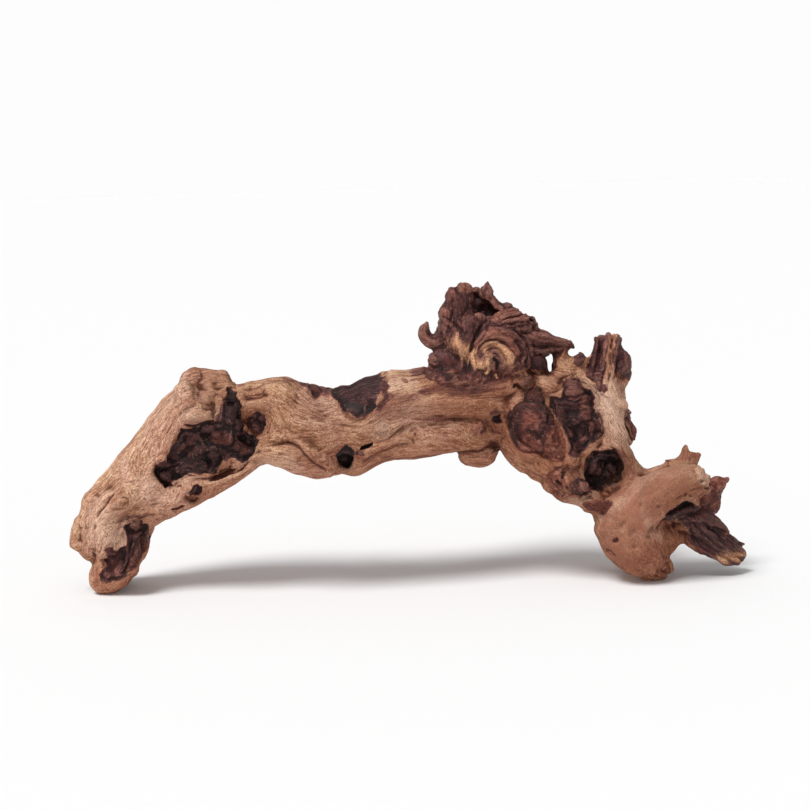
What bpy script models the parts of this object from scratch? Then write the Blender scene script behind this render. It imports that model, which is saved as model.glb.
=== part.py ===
"""A weathered mopani root, 0.41 m long, standing as an arch on two feet.

The wood grew in strands that fused, so it is modelled as strands: each is a run of points with a
radius, and all of them are fused into one skin. Rot pockets are bitten out of that skin down to
the heartwood, which has its own gnarled strands, and the piece is parted at its main forks.
"""

import math

import bmesh
import bpy
import numpy as np
from mathutils import Matrix, Vector

MM = 0.001

# Driving dimensions, in millimetres.
SKIN_VOXEL = 1.4
STRAND_SIDES = 16
END_STEPS = 4
TRIANGLES = 8600
FORK_GAP = 0.3
REACH = 70

# Strands of the wood, each a run of points (x, y, z, radius) in millimetres. X runs along the
# root, -Y is the side that carries the large rot pockets, and Z is up from the resting plane.
LIMB = {
    "core": [
        (-170, -3, 34, 16), (-171, -2, 46, 18.5), (-159, 1, 61, 24), (-138, 3, 80, 27.5),
        (-120, 5, 96, 30.5), (-97, 6, 97, 26.5), (-80, 6, 100, 25.5), (-66, 4, 98, 28),
        (-52, 2, 93.5, 26.5), (-38, 1, 93, 25), (-25, 1, 96.5, 26), (-10, 2, 101, 26),
        (6, 3, 102, 27), (22, 4, 104, 26), (40, 4, 103, 24.5), (60, 3, 101, 25.5),
    ],
    "shoulder rim": [(-126, 2, 120, 10), (-123, 2, 123.5, 10.5), (-114, 2, 122, 10.5), (-108, 2, 118, 11)],
    "shoulder front": [(-150, -8, 76, 16), (-136, -11, 94, 16), (-124, -12, 110, 14.5)],
    "shoulder lip": [(-129, -19, 124, 6), (-124, -22, 114, 6), (-116, -23, 106, 5.5)],
    "shoulder back": [(-152, 12, 74, 16), (-132, 16, 92, 18), (-112, 16, 100, 18)],
    "under fold": [(-150, -7, 56, 12), (-128, -13, 63, 11), (-108, -14, 73, 10), (-92, -13, 82, 9)],
    "belly fold": [(-94, -13, 84, 9), (-80, -18, 87, 9), (-66, -19, 82, 10), (-52, -15, 77, 10)],
    "eddy fold": [(-64, -23, 93, 5.5), (-55, -24, 84, 6), (-46, -21, 76, 6)],
    "top fold": [(-98, -9, 110, 9), (-84, -10, 113, 9), (-70, -9, 115, 9.5), (-61, -7, 111, 9)],
    "mid swell": [(-58, -13, 99, 15), (-40, -15, 90, 14), (-26, -13, 86, 13)],
    "back ridge": [
        (-104, 18, 108, 14), (-76, 20, 104, 13), (-48, 17, 96, 14),
        (-18, 15, 101, 14), (14, 18, 106, 13),
    ],
    "back belly": [
        (-84, 16, 88, 12), (-60, 18, 82, 11), (-34, 16, 80, 12), (-6, 15, 88, 12), (26, 18, 92, 12),
    ],
    "back rib": [(-24, 20, 112, 7), (0, 22, 116, 8), (26, 22, 118, 8), (44, 22, 112, 8)],
    "back stump": [(-42, 16, 100, 11), (-46, 25, 106, 8.5), (-49, 32, 110, 7.5)],
    "front rail": [(-30, -11, 80, 12), (-8, -14, 87, 12), (20, -14, 90, 11), (44, -14, 92, 10)],
    "upper rail": [(-18, -9, 111, 13.5), (8, -11, 112, 14), (34, -12, 112, 13), (56, -12, 108, 13)],
    "bottom knob": [(46, 2, 88, 13), (44, 0, 80, 12), (47, -1, 79.5, 11.5)],
    "back knot": [(-90, 19, 104, 14), (-84, 22, 105, 13)],
    "back burr": [(0, 22, 104, 12), (10, 24, 103, 12)],
}

LEFT_FOOT = {
    "nose": [
        (-170, -2, 57, 17), (-179, -4, 52, 15.5), (-187, -5, 43, 12.5),
        (-194, -5, 36, 9.5), (-198, -5, 31, 6),
    ],
    "nose under": [(-176, -10, 40, 12), (-186, -10, 32, 10), (-193, -7, 27, 7)],
    "nose ridge": [(-166, -17, 60, 9), (-176, -18, 52, 9), (-180, -19, 38, 8.5), (-178, -19, 28, 7)],
    "front toe": [(-168, -9, 40, 14.5), (-171, -9, 26, 13.5), (-177, -9, 15, 13), (-181, -8, 10, 11.5)],
    "back toe": [(-168, 9, 36, 15), (-174, 13, 20, 12), (-179, 15, 10, 11.5)],
}

KNUCKLE = {
    "core": [
        (56, 4, 100, 24.5), (73, 3, 99, 30.5), (90, 1, 89, 32), (105, -2, 78, 30),
        (119, -4, 59, 21), (131, -6, 44, 19), (136, -8, 36, 17),
    ],
    "outer rim": [
        (101, -16, 113, 9), (112, -18, 106, 10.5), (120, -17, 92, 11),
        (124, -14, 78, 11), (132, -12, 63, 9.5), (140, -12, 58, 8),
    ],
    "outer side": [(110, -2, 106, 22), (114, -2, 92, 22), (117, -1, 76, 18)],
    "lower roll": [(70, -14, 81, 14), (88, -19, 70.5, 13.5), (104, -22, 60, 12), (116, -20, 49, 11)],
    "back swell": [(78, 16, 98, 18), (98, 17, 88, 19), (114, 12, 72, 18), (124, 8, 54, 16)],
    "back rib": [(66, 24, 88, 8), (84, 27, 80, 8), (102, 25, 66, 8), (118, 18, 48, 8), (128, 12, 34, 8)],
    "back knob": [(128, 10, 97, 7.5), (133, 13, 91, 8), (133, 12, 84, 7.5)],
    "saddle": [(76, -2, 113, 10), (88, 0, 115, 9.5), (97, 0, 124, 9), (105, 1, 128, 6), (113, 4, 122, 9)],
    "saddle knob": [(104, -6, 126, 6), (107, -6, 131, 5)],
    "post": [(96, -1, 122, 6.5), (95, -1, 130, 5), (95.5, -1, 137, 4)],
    "back pad": [(112, 14, 104, 14), (126, 10, 112, 11), (129, 10, 122, 8)],
}

RIGHT_FOOT = {
    "bulb": [(132, -21, 42, 16), (133, -22, 31, 20), (139, -20, 20, 18), (146, -15, 10, 11.8)],
    "bulb back": [(134, -8, 38, 18), (138, 0, 26, 17), (142, 9, 14, 13), (145, 12, 8.5, 10.5)],
    "lobe": [
        (136, -25, 40, 17), (144, -27, 50, 14.5), (155, -28, 58, 12),
        (166, -27, 60, 10.5), (172, -26, 60, 9.5),
    ],
    "lobe edge": [(164, -24, 60, 8), (176, -20, 60, 7), (180, -18, 55, 5)],
    "lobe under": [(150, -26, 43, 9), (162, -25, 47, 7.5), (173, -22, 48, 5.5), (176, -20, 47, 4)],
    "instep": [(142, -18, 24, 14), (153, -17, 26, 11.5), (160, -14, 27, 9.5), (166, -11, 28, 8)],
    "crown": [(146, -14, 54, 12.5), (158, -10, 60, 9.5), (168, -6, 64, 7.5)],
    "crown spike": [(165, -8, 62, 7), (168.5, -7, 72, 4), (169.5, -7, 78.5, 2.4)],
    "side spike": [(168, -7, 66, 5), (174, -6, 71, 3.2), (177, -6, 73, 2.4)],
    "low spike": [(156, -12, 62, 6), (158.5, -11, 71, 2)],
    "fin": [(160, 0, 46, 12), (174, 3, 46, 11), (183, 5, 48, 8.5), (190, 6, 52.5, 5), (193, 6, 55, 2.6)],
    "fin heel": [(162, 0, 40, 10), (178, 4, 39, 8.5), (186, 5, 41, 6)],
}

STUB = {
    "slab": [(118, 0, 102, 9), (117, 1, 116, 8), (119, 2, 130, 6.5), (121.5, 3, 141.5, 5.5)],
    "back slab": [(122, 4, 102, 11), (124, 5, 116, 9), (126, 5, 128, 7), (128.5, 5, 140.5, 5.5)],
    "dark side": [(126, 9, 112, 9), (129, 9, 122, 8.5), (130, 8, 131, 6.5), (129, 7, 138, 4)],
}

BURL = {
    "core": [(46, 3, 116, 23), (46, 3, 130, 23), (46, 2, 144, 20), (44, 3, 154, 15)],
    "left wall": [(34, -5, 146, 9), (32.5, -4, 158, 8.5), (34, -3, 168, 7.5), (38, -2, 175, 5.5)],
    "left edge": [(29, -2, 152, 5), (27, -2, 162, 4), (30, -2, 172, 4)],
    "back wall": [(38, 12, 152, 10), (40, 11, 166, 7.5), (46, 9, 173, 4.5)],
    "right horn": [(58, 3, 154, 9), (56, 2, 164, 6.5), (54, 1, 172, 4.5), (53, 0, 177, 2.4)],
    "front lip": [(36, -14, 146, 8), (41, -15, 155, 6), (48, -14, 158, 4), (56, -10, 155, 5)],
    "flake upper": [(58, -4, 158, 7), (63, -4, 163, 4.5), (68, -3, 160, 4)],
    "flake lower": [(52, -13, 152, 5), (62, -12, 156, 4.5), (72, -9, 158, 4), (78, -6, 157, 4)],
    "flake back": [(60, 8, 150, 10), (70, 6, 150, 8), (80, 3, 148, 6)],
    "beak": [
        (62, -4, 144, 12), (76, -3, 145, 8.8), (88, -2, 143.5, 6),
        (96, -1, 142.5, 4.6), (103, -1, 141, 2.4),
    ],
    "under lobe": [(72, -6, 134, 9), (81, -6, 131, 6.5)],
    "left lump": [(36, -6, 130, 11), (26, -8, 135, 7.5), (23, -8, 133, 6.5)],
    "left horn": [
        (30, -6, 149, 6), (20, -7, 146, 4.4), (14.5, -7, 149, 3.6), (14, -7, 153, 3), (16, -7, 157, 2),
    ],
    "swirl": [(50, -17, 136, 10), (58, -19, 137, 10), (64, -17, 132, 9)],
    "swirl rim": [
        (44, -18, 142, 4), (50, -20, 150, 4), (60, -20, 150, 4), (68, -18, 143, 4), (71, -16, 133, 4),
    ],
    "base roll": [(20, -10, 122, 8), (34, -17, 122, 8), (52, -19, 121, 8), (70, -17, 122, 7)],
    "back lump": [(34, 17, 132, 13), (44, 20, 142, 12), (58, 17, 138, 12)],
    "back crest": [(28, 12, 138, 8), (25, 17, 148, 5.5), (27, 20, 156, 3)],
    "back fold": [(34, 24, 124, 6), (46, 27, 130, 7), (60, 25, 127, 7), (72, 20, 122, 6)],
    "back flake": [(36, 20, 150, 6), (48, 22, 152, 6), (60, 15, 154, 5), (66, 12, 160, 3)],
    "back horn": [(52, 20, 142, 8), (58, 27, 148, 5), (62, 31, 155, 2.5)],
    "back root": [(60, 15, 128, 12), (76, 14, 122, 11), (88, 10, 114, 10)],
}

PRONG = {
    "shaft": [
        (154, -13, 32, 8), (166, -13, 31, 8.5), (175, -11, 27, 9.5), (184, -9, 20, 9.5),
        (192, -7, 15, 8.5), (198, -6, 12, 7),
    ],
    "upper flake": [(166, -9, 38, 4.5), (178, -7, 35, 5), (186, -5, 30, 4.5), (190, -5, 26, 3.5)],
    "tip flake": [(190, -5, 22, 4), (198, -4, 18, 3), (202, -4, 16, 2)],
}

# Gnarled heartwood that shows in the rot pockets.
HEART = {
    "shoulder lobe": [(-117, -19, 91, 7), (-110, -19, 89, 7)],
    "shoulder ridge": [(-145, -15, 73, 4), (-136, -18, 78, 5), (-126, -20, 82, 5), (-119, -20, 84, 4)],
    "shoulder brow": [(-137, -19, 88, 5), (-129, -20, 93, 5), (-121, -21, 97, 4)],
    "shoulder crest": [(-107, -23, 118, 3.5), (-105, -24, 109, 4.5), (-106, -23, 101, 4)],
    "shoulder wall": [(-99, -23, 108, 3.5), (-101, -22, 99, 5), (-99, -20, 91, 4.5)],
    "shoulder heel": [(-138, -14, 68, 4.5), (-128, -16, 73, 5), (-117, -17, 76, 5.5)],
    "shoulder sill": [(-110, -17, 80, 5), (-104, -18, 84, 5)],
    "shoulder snag": [(-98, -17, 82, 5.5), (-93, -18, 85, 4)],
    "foot gnarl": [(-164, -17, 36, 5), (-164, -19, 24, 5), (-171, -20, 16, 5)],
    "dome": [(73, -18, 104, 14), (79, -22, 99, 14), (84, -22, 90, 13)],
    "dome cap": [(77, -24, 108, 7), (80, -25, 109, 6)],
    "dome rim": [(67, -22, 103, 5), (65, -22, 94, 5), (68, -24, 84, 4.5), (76, -28, 79, 4.5)],
    "dome foot": [(91, -26, 84, 8), (93, -26, 76, 8)],
    "divide": [(91, -24, 112, 4), (93, -30, 100, 4), (97, -33, 88, 4), (99, -34, 76, 4)],
    "pocket cap": [(99, -24, 115, 6.5), (105, -24, 115, 6.5)],
    "pocket fold high": [(94, -25, 107, 4.5), (104, -26, 107, 5), (111, -26, 105, 4)],
    "pocket fold mid": [(96, -26, 99, 5), (105, -27, 99, 5.5), (113, -25, 96, 4.5)],
    "pocket lobe": [(102, -25, 90, 6), (110, -24, 88, 6)],
    "pocket root": [(104, -26, 81, 6), (110, -23, 80, 5), (104, -26, 76, 4.5)],
    "hole knot": [(115, -18, 66, 6.5), (118, -17, 60, 6)],
    "hole ring": [(125, -15, 72, 4), (127, -14, 64, 4.5), (122, -17, 55, 4)],
    "hole snag": [(104, -24, 54, 4.5), (111, -24, 56, 4)],
    "leg burr": [(88, -26, 62, 5.5), (97, -27, 57, 5.5)],
    "leg bead": [(90, -29, 64, 3.5), (95, -30, 60, 3.5)],
    "back shoulder lobe": [(-128, 24, 100, 6), (-118, 25, 98, 6)],
    "back shoulder fold": [(-133, 22, 92, 4.5), (-122, 24, 90, 5), (-112, 23, 96, 4.5)],
    "back knuckle lobe": [(94, 26, 98, 6), (103, 26, 92, 6)],
    "back knuckle fold": [(90, 27, 88, 5), (99, 26, 82, 5)],
}

# Rot pockets: how deep each is worn, the y that it lies between, and its outline as (x, z).
POCKETS = {
    "shoulder pocket": (7.5, -REACH, -13, [
        (-105, 120), (-98, 113), (-97, 102), (-91, 95), (-87, 89), (-91, 81), (-98, 75), (-109, 70.5),
        (-117, 69), (-131, 69.5), (-140, 64), (-145, 68), (-149, 75), (-146, 81), (-139, 86),
        (-134, 96), (-124, 98), (-112, 101), (-110.5, 110),
    ]),
    "foot pocket": (3.5, -REACH, -12, [
        (-170, 39), (-165, 43), (-152, 44), (-150, 30), (-157, 17), (-168, 14), (-178, 14), (-183, 18),
        (-182, 25), (-175, 26), (-169, 28), (-168, 34),
    ]),
    "limb knot": (4, -REACH, -14, [(-94, 100), (-91, 106), (-85, 107), (-80, 101), (-82, 95), (-88, 93)]),
    "limb hole": (16, -REACH, -8, [(-40, 80), (-36, 84), (-30, 82), (-30, 75), (-35, 72.5), (-39, 75)]),
    "under hole": (4.5, -REACH, -12, [(-132, 59), (-128, 63), (-122, 62), (-121, 57), (-127, 54)]),
    "top notch": (5, -REACH, -6, [(-60, 126), (-57, 119), (-51, 113.5), (-47, 116), (-46, 126)]),
    "top patch": (3, -REACH, 8, [
        (-45, 118), (-38, 112), (-36, 107), (-30, 102), (-22, 101.5),
        (-16, 108), (-8, 111), (-8, 135), (-45, 135),
    ]),
    "knuckle pocket": (11, -REACH, -12, [
        (103, 122), (96, 116), (95, 111), (88, 110), (88, 101), (94, 93), (99, 85), (99, 75), (104, 71),
        (112, 77), (118, 84), (119, 94), (116, 106), (113, 114), (108, 120),
    ]),
    "knuckle hole": (16, -REACH, -9, [
        (111, 68), (116, 74), (124, 76), (130, 71), (131, 62), (126, 54),
        (118, 51), (112, 54), (102, 51), (101, 56), (109, 60),
    ]),
    "back shoulder pocket": (8, 14, REACH, [
        (-143, 92), (-140, 101), (-132, 104), (-128, 111), (-118, 113), (-109, 107), (-104, 99), (-111, 92),
        (-112, 86), (-125, 82), (-131, 86), (-138, 84),
    ]),
    "back knot hole": (7, 16, REACH, [(-92, 106), (-87, 111), (-81, 109), (-80, 103), (-85, 99), (-91, 101)]),
    "back limb hole": (11, 10, REACH, [(-25, 95), (-20, 98), (-14, 98), (-11, 94), (-15, 89), (-22, 89)]),
    "back seam": (4, 12, REACH, [
        (-74, 93), (-62, 91), (-46, 85), (-33, 86), (-34, 83), (-47, 81), (-62, 87), (-74, 90),
    ]),
    "back knuckle pocket": (9, 12, REACH, [
        (86, 104), (92, 106), (97, 111), (104, 107), (108, 98), (109, 88), (113, 81), (107, 75), (99, 78),
        (93, 77), (89, 84), (91, 92), (85, 97),
    ]),
    "back heel pocket": (5, 4, REACH, [(122, 46), (128, 51), (136, 46), (138, 36), (131, 32), (125, 38)]),
}

# Hollows that open upwards or outwards, run like the strands.
HOLLOWS = {
    "chimney": [(45, -4, 184, 8), (47, -4, 172, 8), (51, -5, 164, 8), (55, -6, 159, 5)],
    "mouth": [(186, -22, 36, 5), (174, -22, 39, 5), (164, -21, 38, 4.5), (156, -19, 34, 2.5)],
    "ring end": [(80, -8, 158, 2), (74, -7, 158, 2)],
    "back window": [(89, -30, 132, 3), (89, 30, 133, 3)],
}

# How far the whole root wanders towards +Y at each x along it. It drops by a part of that, so
# that its outline stays the same for someone who looks down on it a little from the front.
BENDS = [
    (-230, 0), (-176, 0), (-130, -3), (-80, -11), (-30, -12),
    (20, -2), (66, 7), (110, 4), (140, 0), (230, 0),
]
DROP = 0.14

# Where the piece is parted at its forks, as outlines (x, z).
FORKS = {
    "burl": [
        (4, 200), (4, 138), (14, 132), (30, 121), (66, 118.5), (82, 121),
        (90, 126), (93, 134), (104, 134), (112, 140), (112, 200),
    ],
    "upright_stub": [(112.5, 200), (110, 124), (117, 111), (126, 108), (136, 111), (144, 118), (144, 200)],
    "prong": [(167, 12), (165, 36), (172, 41), (182, 37), (194, 32), (215, 30), (215, -20), (167, -20)],
    "main_limb": [(60.5, 200), (60.5, -20), (-230, -20), (-230, 200)],
}

COLOURS = {
    "main_limb": (0.46, 0.31, 0.20), "burl": (0.16, 0.09, 0.07), "right_leg": (0.42, 0.27, 0.17),
    "upright_stub": (0.20, 0.11, 0.08), "prong": (0.12, 0.07, 0.06),
}


def rounded_ends(points):
    """The strand's points with a few more at each end, where its radius closes like a dome."""
    made = list(points)
    for end, inner in ((0, 1), (-1, -2)):
        tip, radius = points[end]
        outward = (tip - points[inner][0]).normalized()
        dome = []
        for step in range(1, END_STEPS + 1):
            turn = 0.48 * math.pi * step / END_STEPS
            dome.append((tip + outward * radius * math.sin(turn), radius * math.cos(turn)))
        made = made + dome if end else dome[::-1] + made
    return made


def smooth_run(points, steps=5):
    """Catmull-Rom points between the strand's own, so that it bends as wood does."""
    rows = [Vector(p) for p in (points[0], *points, points[-1])]
    made = []
    for before, start, stop, after in zip(rows, rows[1:], rows[2:], rows[3:]):
        for step in range(steps):
            t = step / steps
            row = 2 * start + (stop - before) * t
            row += (2 * before - 5 * start + 4 * stop - after) * t * t
            row += (3 * start - 3 * stop + after - before) * t * t * t
            row *= 0.5
            made.append((row.to_3d(), row[3]))
    return made + [(rows[-1].to_3d(), rows[-1][3])]


def welded_mesh(curve_object):
    """The mesh of a curve object, its caps welded; the curve is removed."""
    graph = bpy.context.evaluated_depsgraph_get()
    mesh = bpy.data.meshes.new_from_object(curve_object.evaluated_get(graph))
    made = bpy.data.objects.new(curve_object.name + " mesh", mesh)
    made.matrix_world = curve_object.matrix_world.copy()
    bpy.data.objects.remove(curve_object)
    HELPERS.objects.link(made)
    edit = bmesh.new()
    edit.from_mesh(mesh)
    bmesh.ops.remove_doubles(edit, verts=edit.verts, dist=0.00001)
    bmesh.ops.recalc_face_normals(edit, faces=edit.faces)
    edit.to_mesh(mesh)
    edit.free()
    return made


def tubes(name, strands, worn=0.0):
    """One mesh object with a closed tube for each strand, thinner by what has worn away."""
    curve = bpy.data.curves.new(name, "CURVE")
    curve.dimensions = "3D"
    curve.bevel_depth = MM
    curve.bevel_resolution = STRAND_SIDES // 4
    curve.use_fill_caps = True
    for points in strands.values():
        run = [(place, radius - worn) for place, radius in smooth_run(points) if radius > worn + 1]
        if len(run) < 2:
            continue
        run = rounded_ends(run)
        spline = curve.splines.new("POLY")
        spline.points.add(len(run) - 1)
        for point, (place, radius) in zip(spline.points, run):
            point.co = (*(place * MM), 1)
            point.radius = max(radius, 0.05)
    guide = bpy.data.objects.new(name, curve)
    bpy.context.scene.collection.objects.link(guide)
    return welded_mesh(guide)


def prism(name, outline, low, high, grow=0.0):
    """An (x, z) outline, grown by a margin, as a solid from y = low to y = high."""
    points = [Vector(p) for p in outline]
    area = sum(a.x * b.y - b.x * a.y for a, b in zip(points, points[1:] + points[:1]))
    side = 1 if area > 0 else -1
    grown = []
    for before, here, after in zip(points[-1:] + points, points, points[1:] + points[:1]):
        ahead = (after - here).normalized()
        behind = (here - before).normalized()
        across = Vector((ahead.y + behind.y, -ahead.x - behind.x)) * side
        grown.append(here + across * 2 * grow / across.length_squared)
    curve = bpy.data.curves.new(name, "CURVE")
    curve.dimensions = "2D"
    curve.fill_mode = "BOTH"
    curve.extrude = (high - low) / 2 * MM
    spline = curve.splines.new("POLY")
    spline.points.add(len(grown) - 1)
    for point, place in zip(spline.points, grown):
        point.co = (place.x * MM, place.y * MM, 0, 1)
    spline.use_cyclic_u = True
    guide = bpy.data.objects.new(name, curve)
    bpy.context.scene.collection.objects.link(guide)
    upright = Matrix.Rotation(math.pi / 2, 4, "X")
    guide.matrix_world = Matrix.Translation((0, (low + high) / 2 * MM, 0)) @ upright
    bpy.context.view_layer.update()
    return welded_mesh(guide)


def joined(name, objects):
    """One helper object that holds the meshes of several."""
    edit = bmesh.new()
    for obj in objects:
        obj.data.transform(obj.matrix_world)
        edit.from_mesh(obj.data)
        bpy.data.objects.remove(obj)
    mesh = bpy.data.meshes.new(name)
    edit.to_mesh(mesh)
    edit.free()
    made = bpy.data.objects.new(name, mesh)
    HELPERS.objects.link(made)
    return made


def apply_modifiers(obj):
    """The object with its modifiers worked into its mesh."""
    bpy.context.view_layer.update()
    graph = bpy.context.evaluated_depsgraph_get()
    obj.data = bpy.data.meshes.new_from_object(obj.evaluated_get(graph))
    obj.modifiers.clear()
    return obj


def fused(obj, passes):
    """Overlapping tubes made one skin, and worn smooth."""
    remesh = obj.modifiers.new("one skin", "REMESH")
    remesh.mode = "VOXEL"
    remesh.voxel_size = SKIN_VOXEL * MM
    if passes:
        smooth = obj.modifiers.new("worn", "SMOOTH")
        smooth.factor = 0.5
        smooth.iterations = passes
    return apply_modifiers(obj)


def boolean(obj, operation, other):
    """Adds a Boolean of obj with another object."""
    cut = obj.modifiers.new(other.name, "BOOLEAN")
    cut.operation = operation
    cut.object = other
    cut.solver = "EXACT"


def helper(obj):
    """Keeps a cutter or guide out of the render."""
    obj.hide_render = True
    obj.display_type = "WIRE"
    return obj


def bite(strands, name, depth, low, high, outline):
    """What rot takes out between two depths along Y, down to where the strands are worn by depth."""
    made = prism(name, outline, low, high)
    floor = fused(tubes(name + " floor", strands, depth), 0)
    boolean(made, "DIFFERENCE", floor)
    apply_modifiers(made)
    bpy.data.objects.remove(floor)
    return made


def coarser(obj, triangles):
    """The object's skin carried by about so many triangles."""
    obj.data.calc_loop_triangles()
    fewer = obj.modifiers.new("coarser", "DECIMATE")
    fewer.ratio = triangles / len(obj.data.loop_triangles)
    return apply_modifiers(obj)


def bent(obj):
    """The object with the sideways wander of the root."""
    run = smooth_run([(x, aside, 0, 0) for x, aside in BENDS])
    along = [place.x for place, _ in run]
    asides = [place.y for place, _ in run]
    for vertex in obj.data.vertices:
        aside = float(np.interp(vertex.co.x / MM, along, asides)) * MM
        vertex.co.y += aside
        vertex.co.z -= aside * DROP
    return obj


def material(name, colour):
    """Dry wood of one colour."""
    made = bpy.data.materials.new(name)
    made.use_nodes = True
    shader = made.node_tree.nodes["Principled BSDF"]
    shader.inputs["Base Color"].default_value = (*colour, 1)
    shader.inputs["Roughness"].default_value = 0.75
    shader.inputs["Metallic"].default_value = 0
    return made


def largest_body(obj):
    """The object with any chip that a cut left loose taken away."""
    edit = bmesh.new()
    edit.from_mesh(obj.data)
    edit.verts.ensure_lookup_table()
    left = set(edit.verts)
    bodies = []
    while left:
        seed = left.pop()
        body = [seed]
        for vert in body:
            for edge in vert.link_edges:
                other = edge.other_vert(vert)
                if other in left:
                    left.discard(other)
                    body.append(other)
        bodies.append(body)
    bodies.sort(key=len)
    bmesh.ops.delete(edit, geom=[v for body in bodies[:-1] for v in body], context="VERTS")
    edit.to_mesh(obj.data)
    edit.free()


def part_node(name, wood, cutters, keep=None):
    """A node of the wood: what the keep outline holds, less what the cutters take."""
    made = bpy.data.objects.new(name, wood.data.copy())
    WOOD.objects.link(made)
    if keep:
        boolean(made, "INTERSECT", keep)
    for cutter in cutters:
        boolean(made, "DIFFERENCE", cutter)
    apply_modifiers(made)
    largest_body(made)
    made.data.materials.clear()
    made.data.materials.append(material(name + " wood", COLOURS[name]))
    made.data.shade_smooth()
    made.data.set_sharp_from_angle(angle=math.radians(50))
    return made


def centre_on_origin(objects):
    """Moves the parts so that the middle of their box is above the origin."""
    corners = [v.co for obj in objects for v in obj.data.vertices]
    middle = [(min(c[i] for c in corners) + max(c[i] for c in corners)) / 2 for i in (0, 1)]
    for obj in objects:
        obj.data.transform(Matrix.Translation((-middle[0], -middle[1], 0)))


def clear_scene():
    for obj in list(bpy.data.objects):
        bpy.data.objects.remove(obj)


def new_collection(name):
    made = bpy.data.collections.new(name)
    bpy.context.scene.collection.children.link(made)
    return made


clear_scene()
WOOD = new_collection("mopani root")
HELPERS = new_collection("cutters")

STRANDS = {}
for group, limb in (("limb", LIMB), ("left foot", LEFT_FOOT), ("knuckle", KNUCKLE),
                    ("right foot", RIGHT_FOOT), ("stub", STUB), ("burl", BURL), ("prong", PRONG)):
    STRANDS.update({group + " " + name: points for name, points in limb.items()})

wood = fused(tubes("wood", STRANDS), 4)
bites = [bite(STRANDS, pocket, *values) for pocket, values in POCKETS.items()]
for cutter in (joined("pockets", bites), fused(tubes("hollows", HOLLOWS), 1)):
    boolean(wood, "DIFFERENCE", helper(cutter))
    apply_modifiers(wood)
wood = fused(joined("weathered wood", [wood, tubes("heart", HEART)]), 3)
ground = prism("ground", [(-260, 0), (260, 0), (260, -60), (-260, -60)], -REACH, REACH)
bent(coarser(wood, TRIANGLES))
boolean(wood, "DIFFERENCE", helper(ground))
apply_modifiers(wood)

taken = {}
kept = {}
for name, outline in FORKS.items():
    kept[name] = helper(prism(name + " fork", outline, -REACH, REACH))
    taken[name] = helper(prism(name + " clearance", outline, -REACH, REACH, FORK_GAP))
part_node("burl", wood, [], kept["burl"])
part_node("upright_stub", wood, [], kept["upright_stub"])
part_node("prong", wood, [], kept["prong"])
part_node("main_limb", wood, [taken["burl"]], kept["main_limb"])
part_node("right_leg", wood, [taken["main_limb"], taken["burl"], taken["upright_stub"], taken["prong"]])
bpy.data.objects.remove(wood)
centre_on_origin(WOOD.objects)
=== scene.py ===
"""Looks of a weatherworn mopani root: an arch of sand-blasted sapwood with gnarled, dark heartwood.

The frame's solids are joined into one fine skin, on which the grain, knots, slits and rot are
raised, sunk and coloured. Places are given in the root's own millimetres: X along the root, Z up,
and -Y the side with the large rot pockets. A feature of that side is drawn on the plane Y = 0, as
an eye sees it that stands in front and looks down a little, and it lands where the sight line
through it meets the wood.
"""

import math
from types import SimpleNamespace

import bmesh
import bpy
import numpy as np
from mathutils import Matrix, Vector


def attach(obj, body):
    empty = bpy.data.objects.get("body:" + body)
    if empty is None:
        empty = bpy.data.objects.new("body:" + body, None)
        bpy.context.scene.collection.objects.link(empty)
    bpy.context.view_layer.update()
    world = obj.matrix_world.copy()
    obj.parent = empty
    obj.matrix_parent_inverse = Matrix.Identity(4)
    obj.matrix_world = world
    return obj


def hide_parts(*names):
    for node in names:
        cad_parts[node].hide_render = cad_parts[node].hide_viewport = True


MM = 0.001

# The root's own origin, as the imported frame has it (mm).
ROOT = np.array([-0.686, 0.321, 0.0])

# The eye: its angles (degrees), its distance (mm) and the point that it looks at (mm), and the
# camera's lens and sensor (mm) and nearest distance (m).
EYE_PITCH = 8.0
EYE_ROLL = 1.78
EYE_DISTANCE = 1147.5
EYE_TARGET = np.array([1.4, 0.0, 107.7])
LENS = 85
SENSOR = 36
CLIP_START = 0.05

# The skin: how much the solids are swollen (mm), the two meshes' widths (mm) and rounds of wear.
SWELL = 0.35
FIRST_VOXEL = 1.1
FIRST_WEAR = 8
FINE_VOXEL = 0.78
FINE_WEAR = 3

# Features of the seen side end where the skin turns away from the eye: they are full where the
# cosine of its angle to the sight line is above the second of these, and gone below the first.
FACING = (-0.35, 0.0)

# How far outside an outline, or beside a crease, its effect is looked for (mm).
REACH = 6

# The lowest that the shaped skin may come above the floor (mm).
LOWEST = 0.02

# Rounds of averaging among neighbours: for the shape close to a point, for the broader shape around
# it, for the calm direction that the sapwood's painted shade follows, and for the soft rim around heartwood.
NEAR_ROUNDS = 8
FAR_ROUNDS = 60
CALM_ROUNDS = 12
HALO_ROUNDS = 50

# Where the painted light comes from: the sapwood is painted darker and redder on the sides turned
# away from it, as painted shade.
PAINTED_LIGHT_FROM = (-0.3, -0.22, 0.93)

# How many rows of points on a fork's cut take on the skin's values, and half a cutter's depth (mm).
CUT_ROWS = 4
CUTTER_DEPTH = 120

# The studio: the floor's reach (mm) and tone, how bright the horizon and the sky overhead are, the
# heights between which that changes, and the key light (1 is white), its width and its direction.
FLOOR_REACH = 9000
FLOOR_TONE = 0.862
HORIZON = 0.98
OVERHEAD = 0.4
SKY_HEIGHTS = (0.1, 0.35)
KEY = 0.85
KEY_ANGLE = 25
KEY_FROM = (-0.42, -0.4, 1.0)

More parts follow.
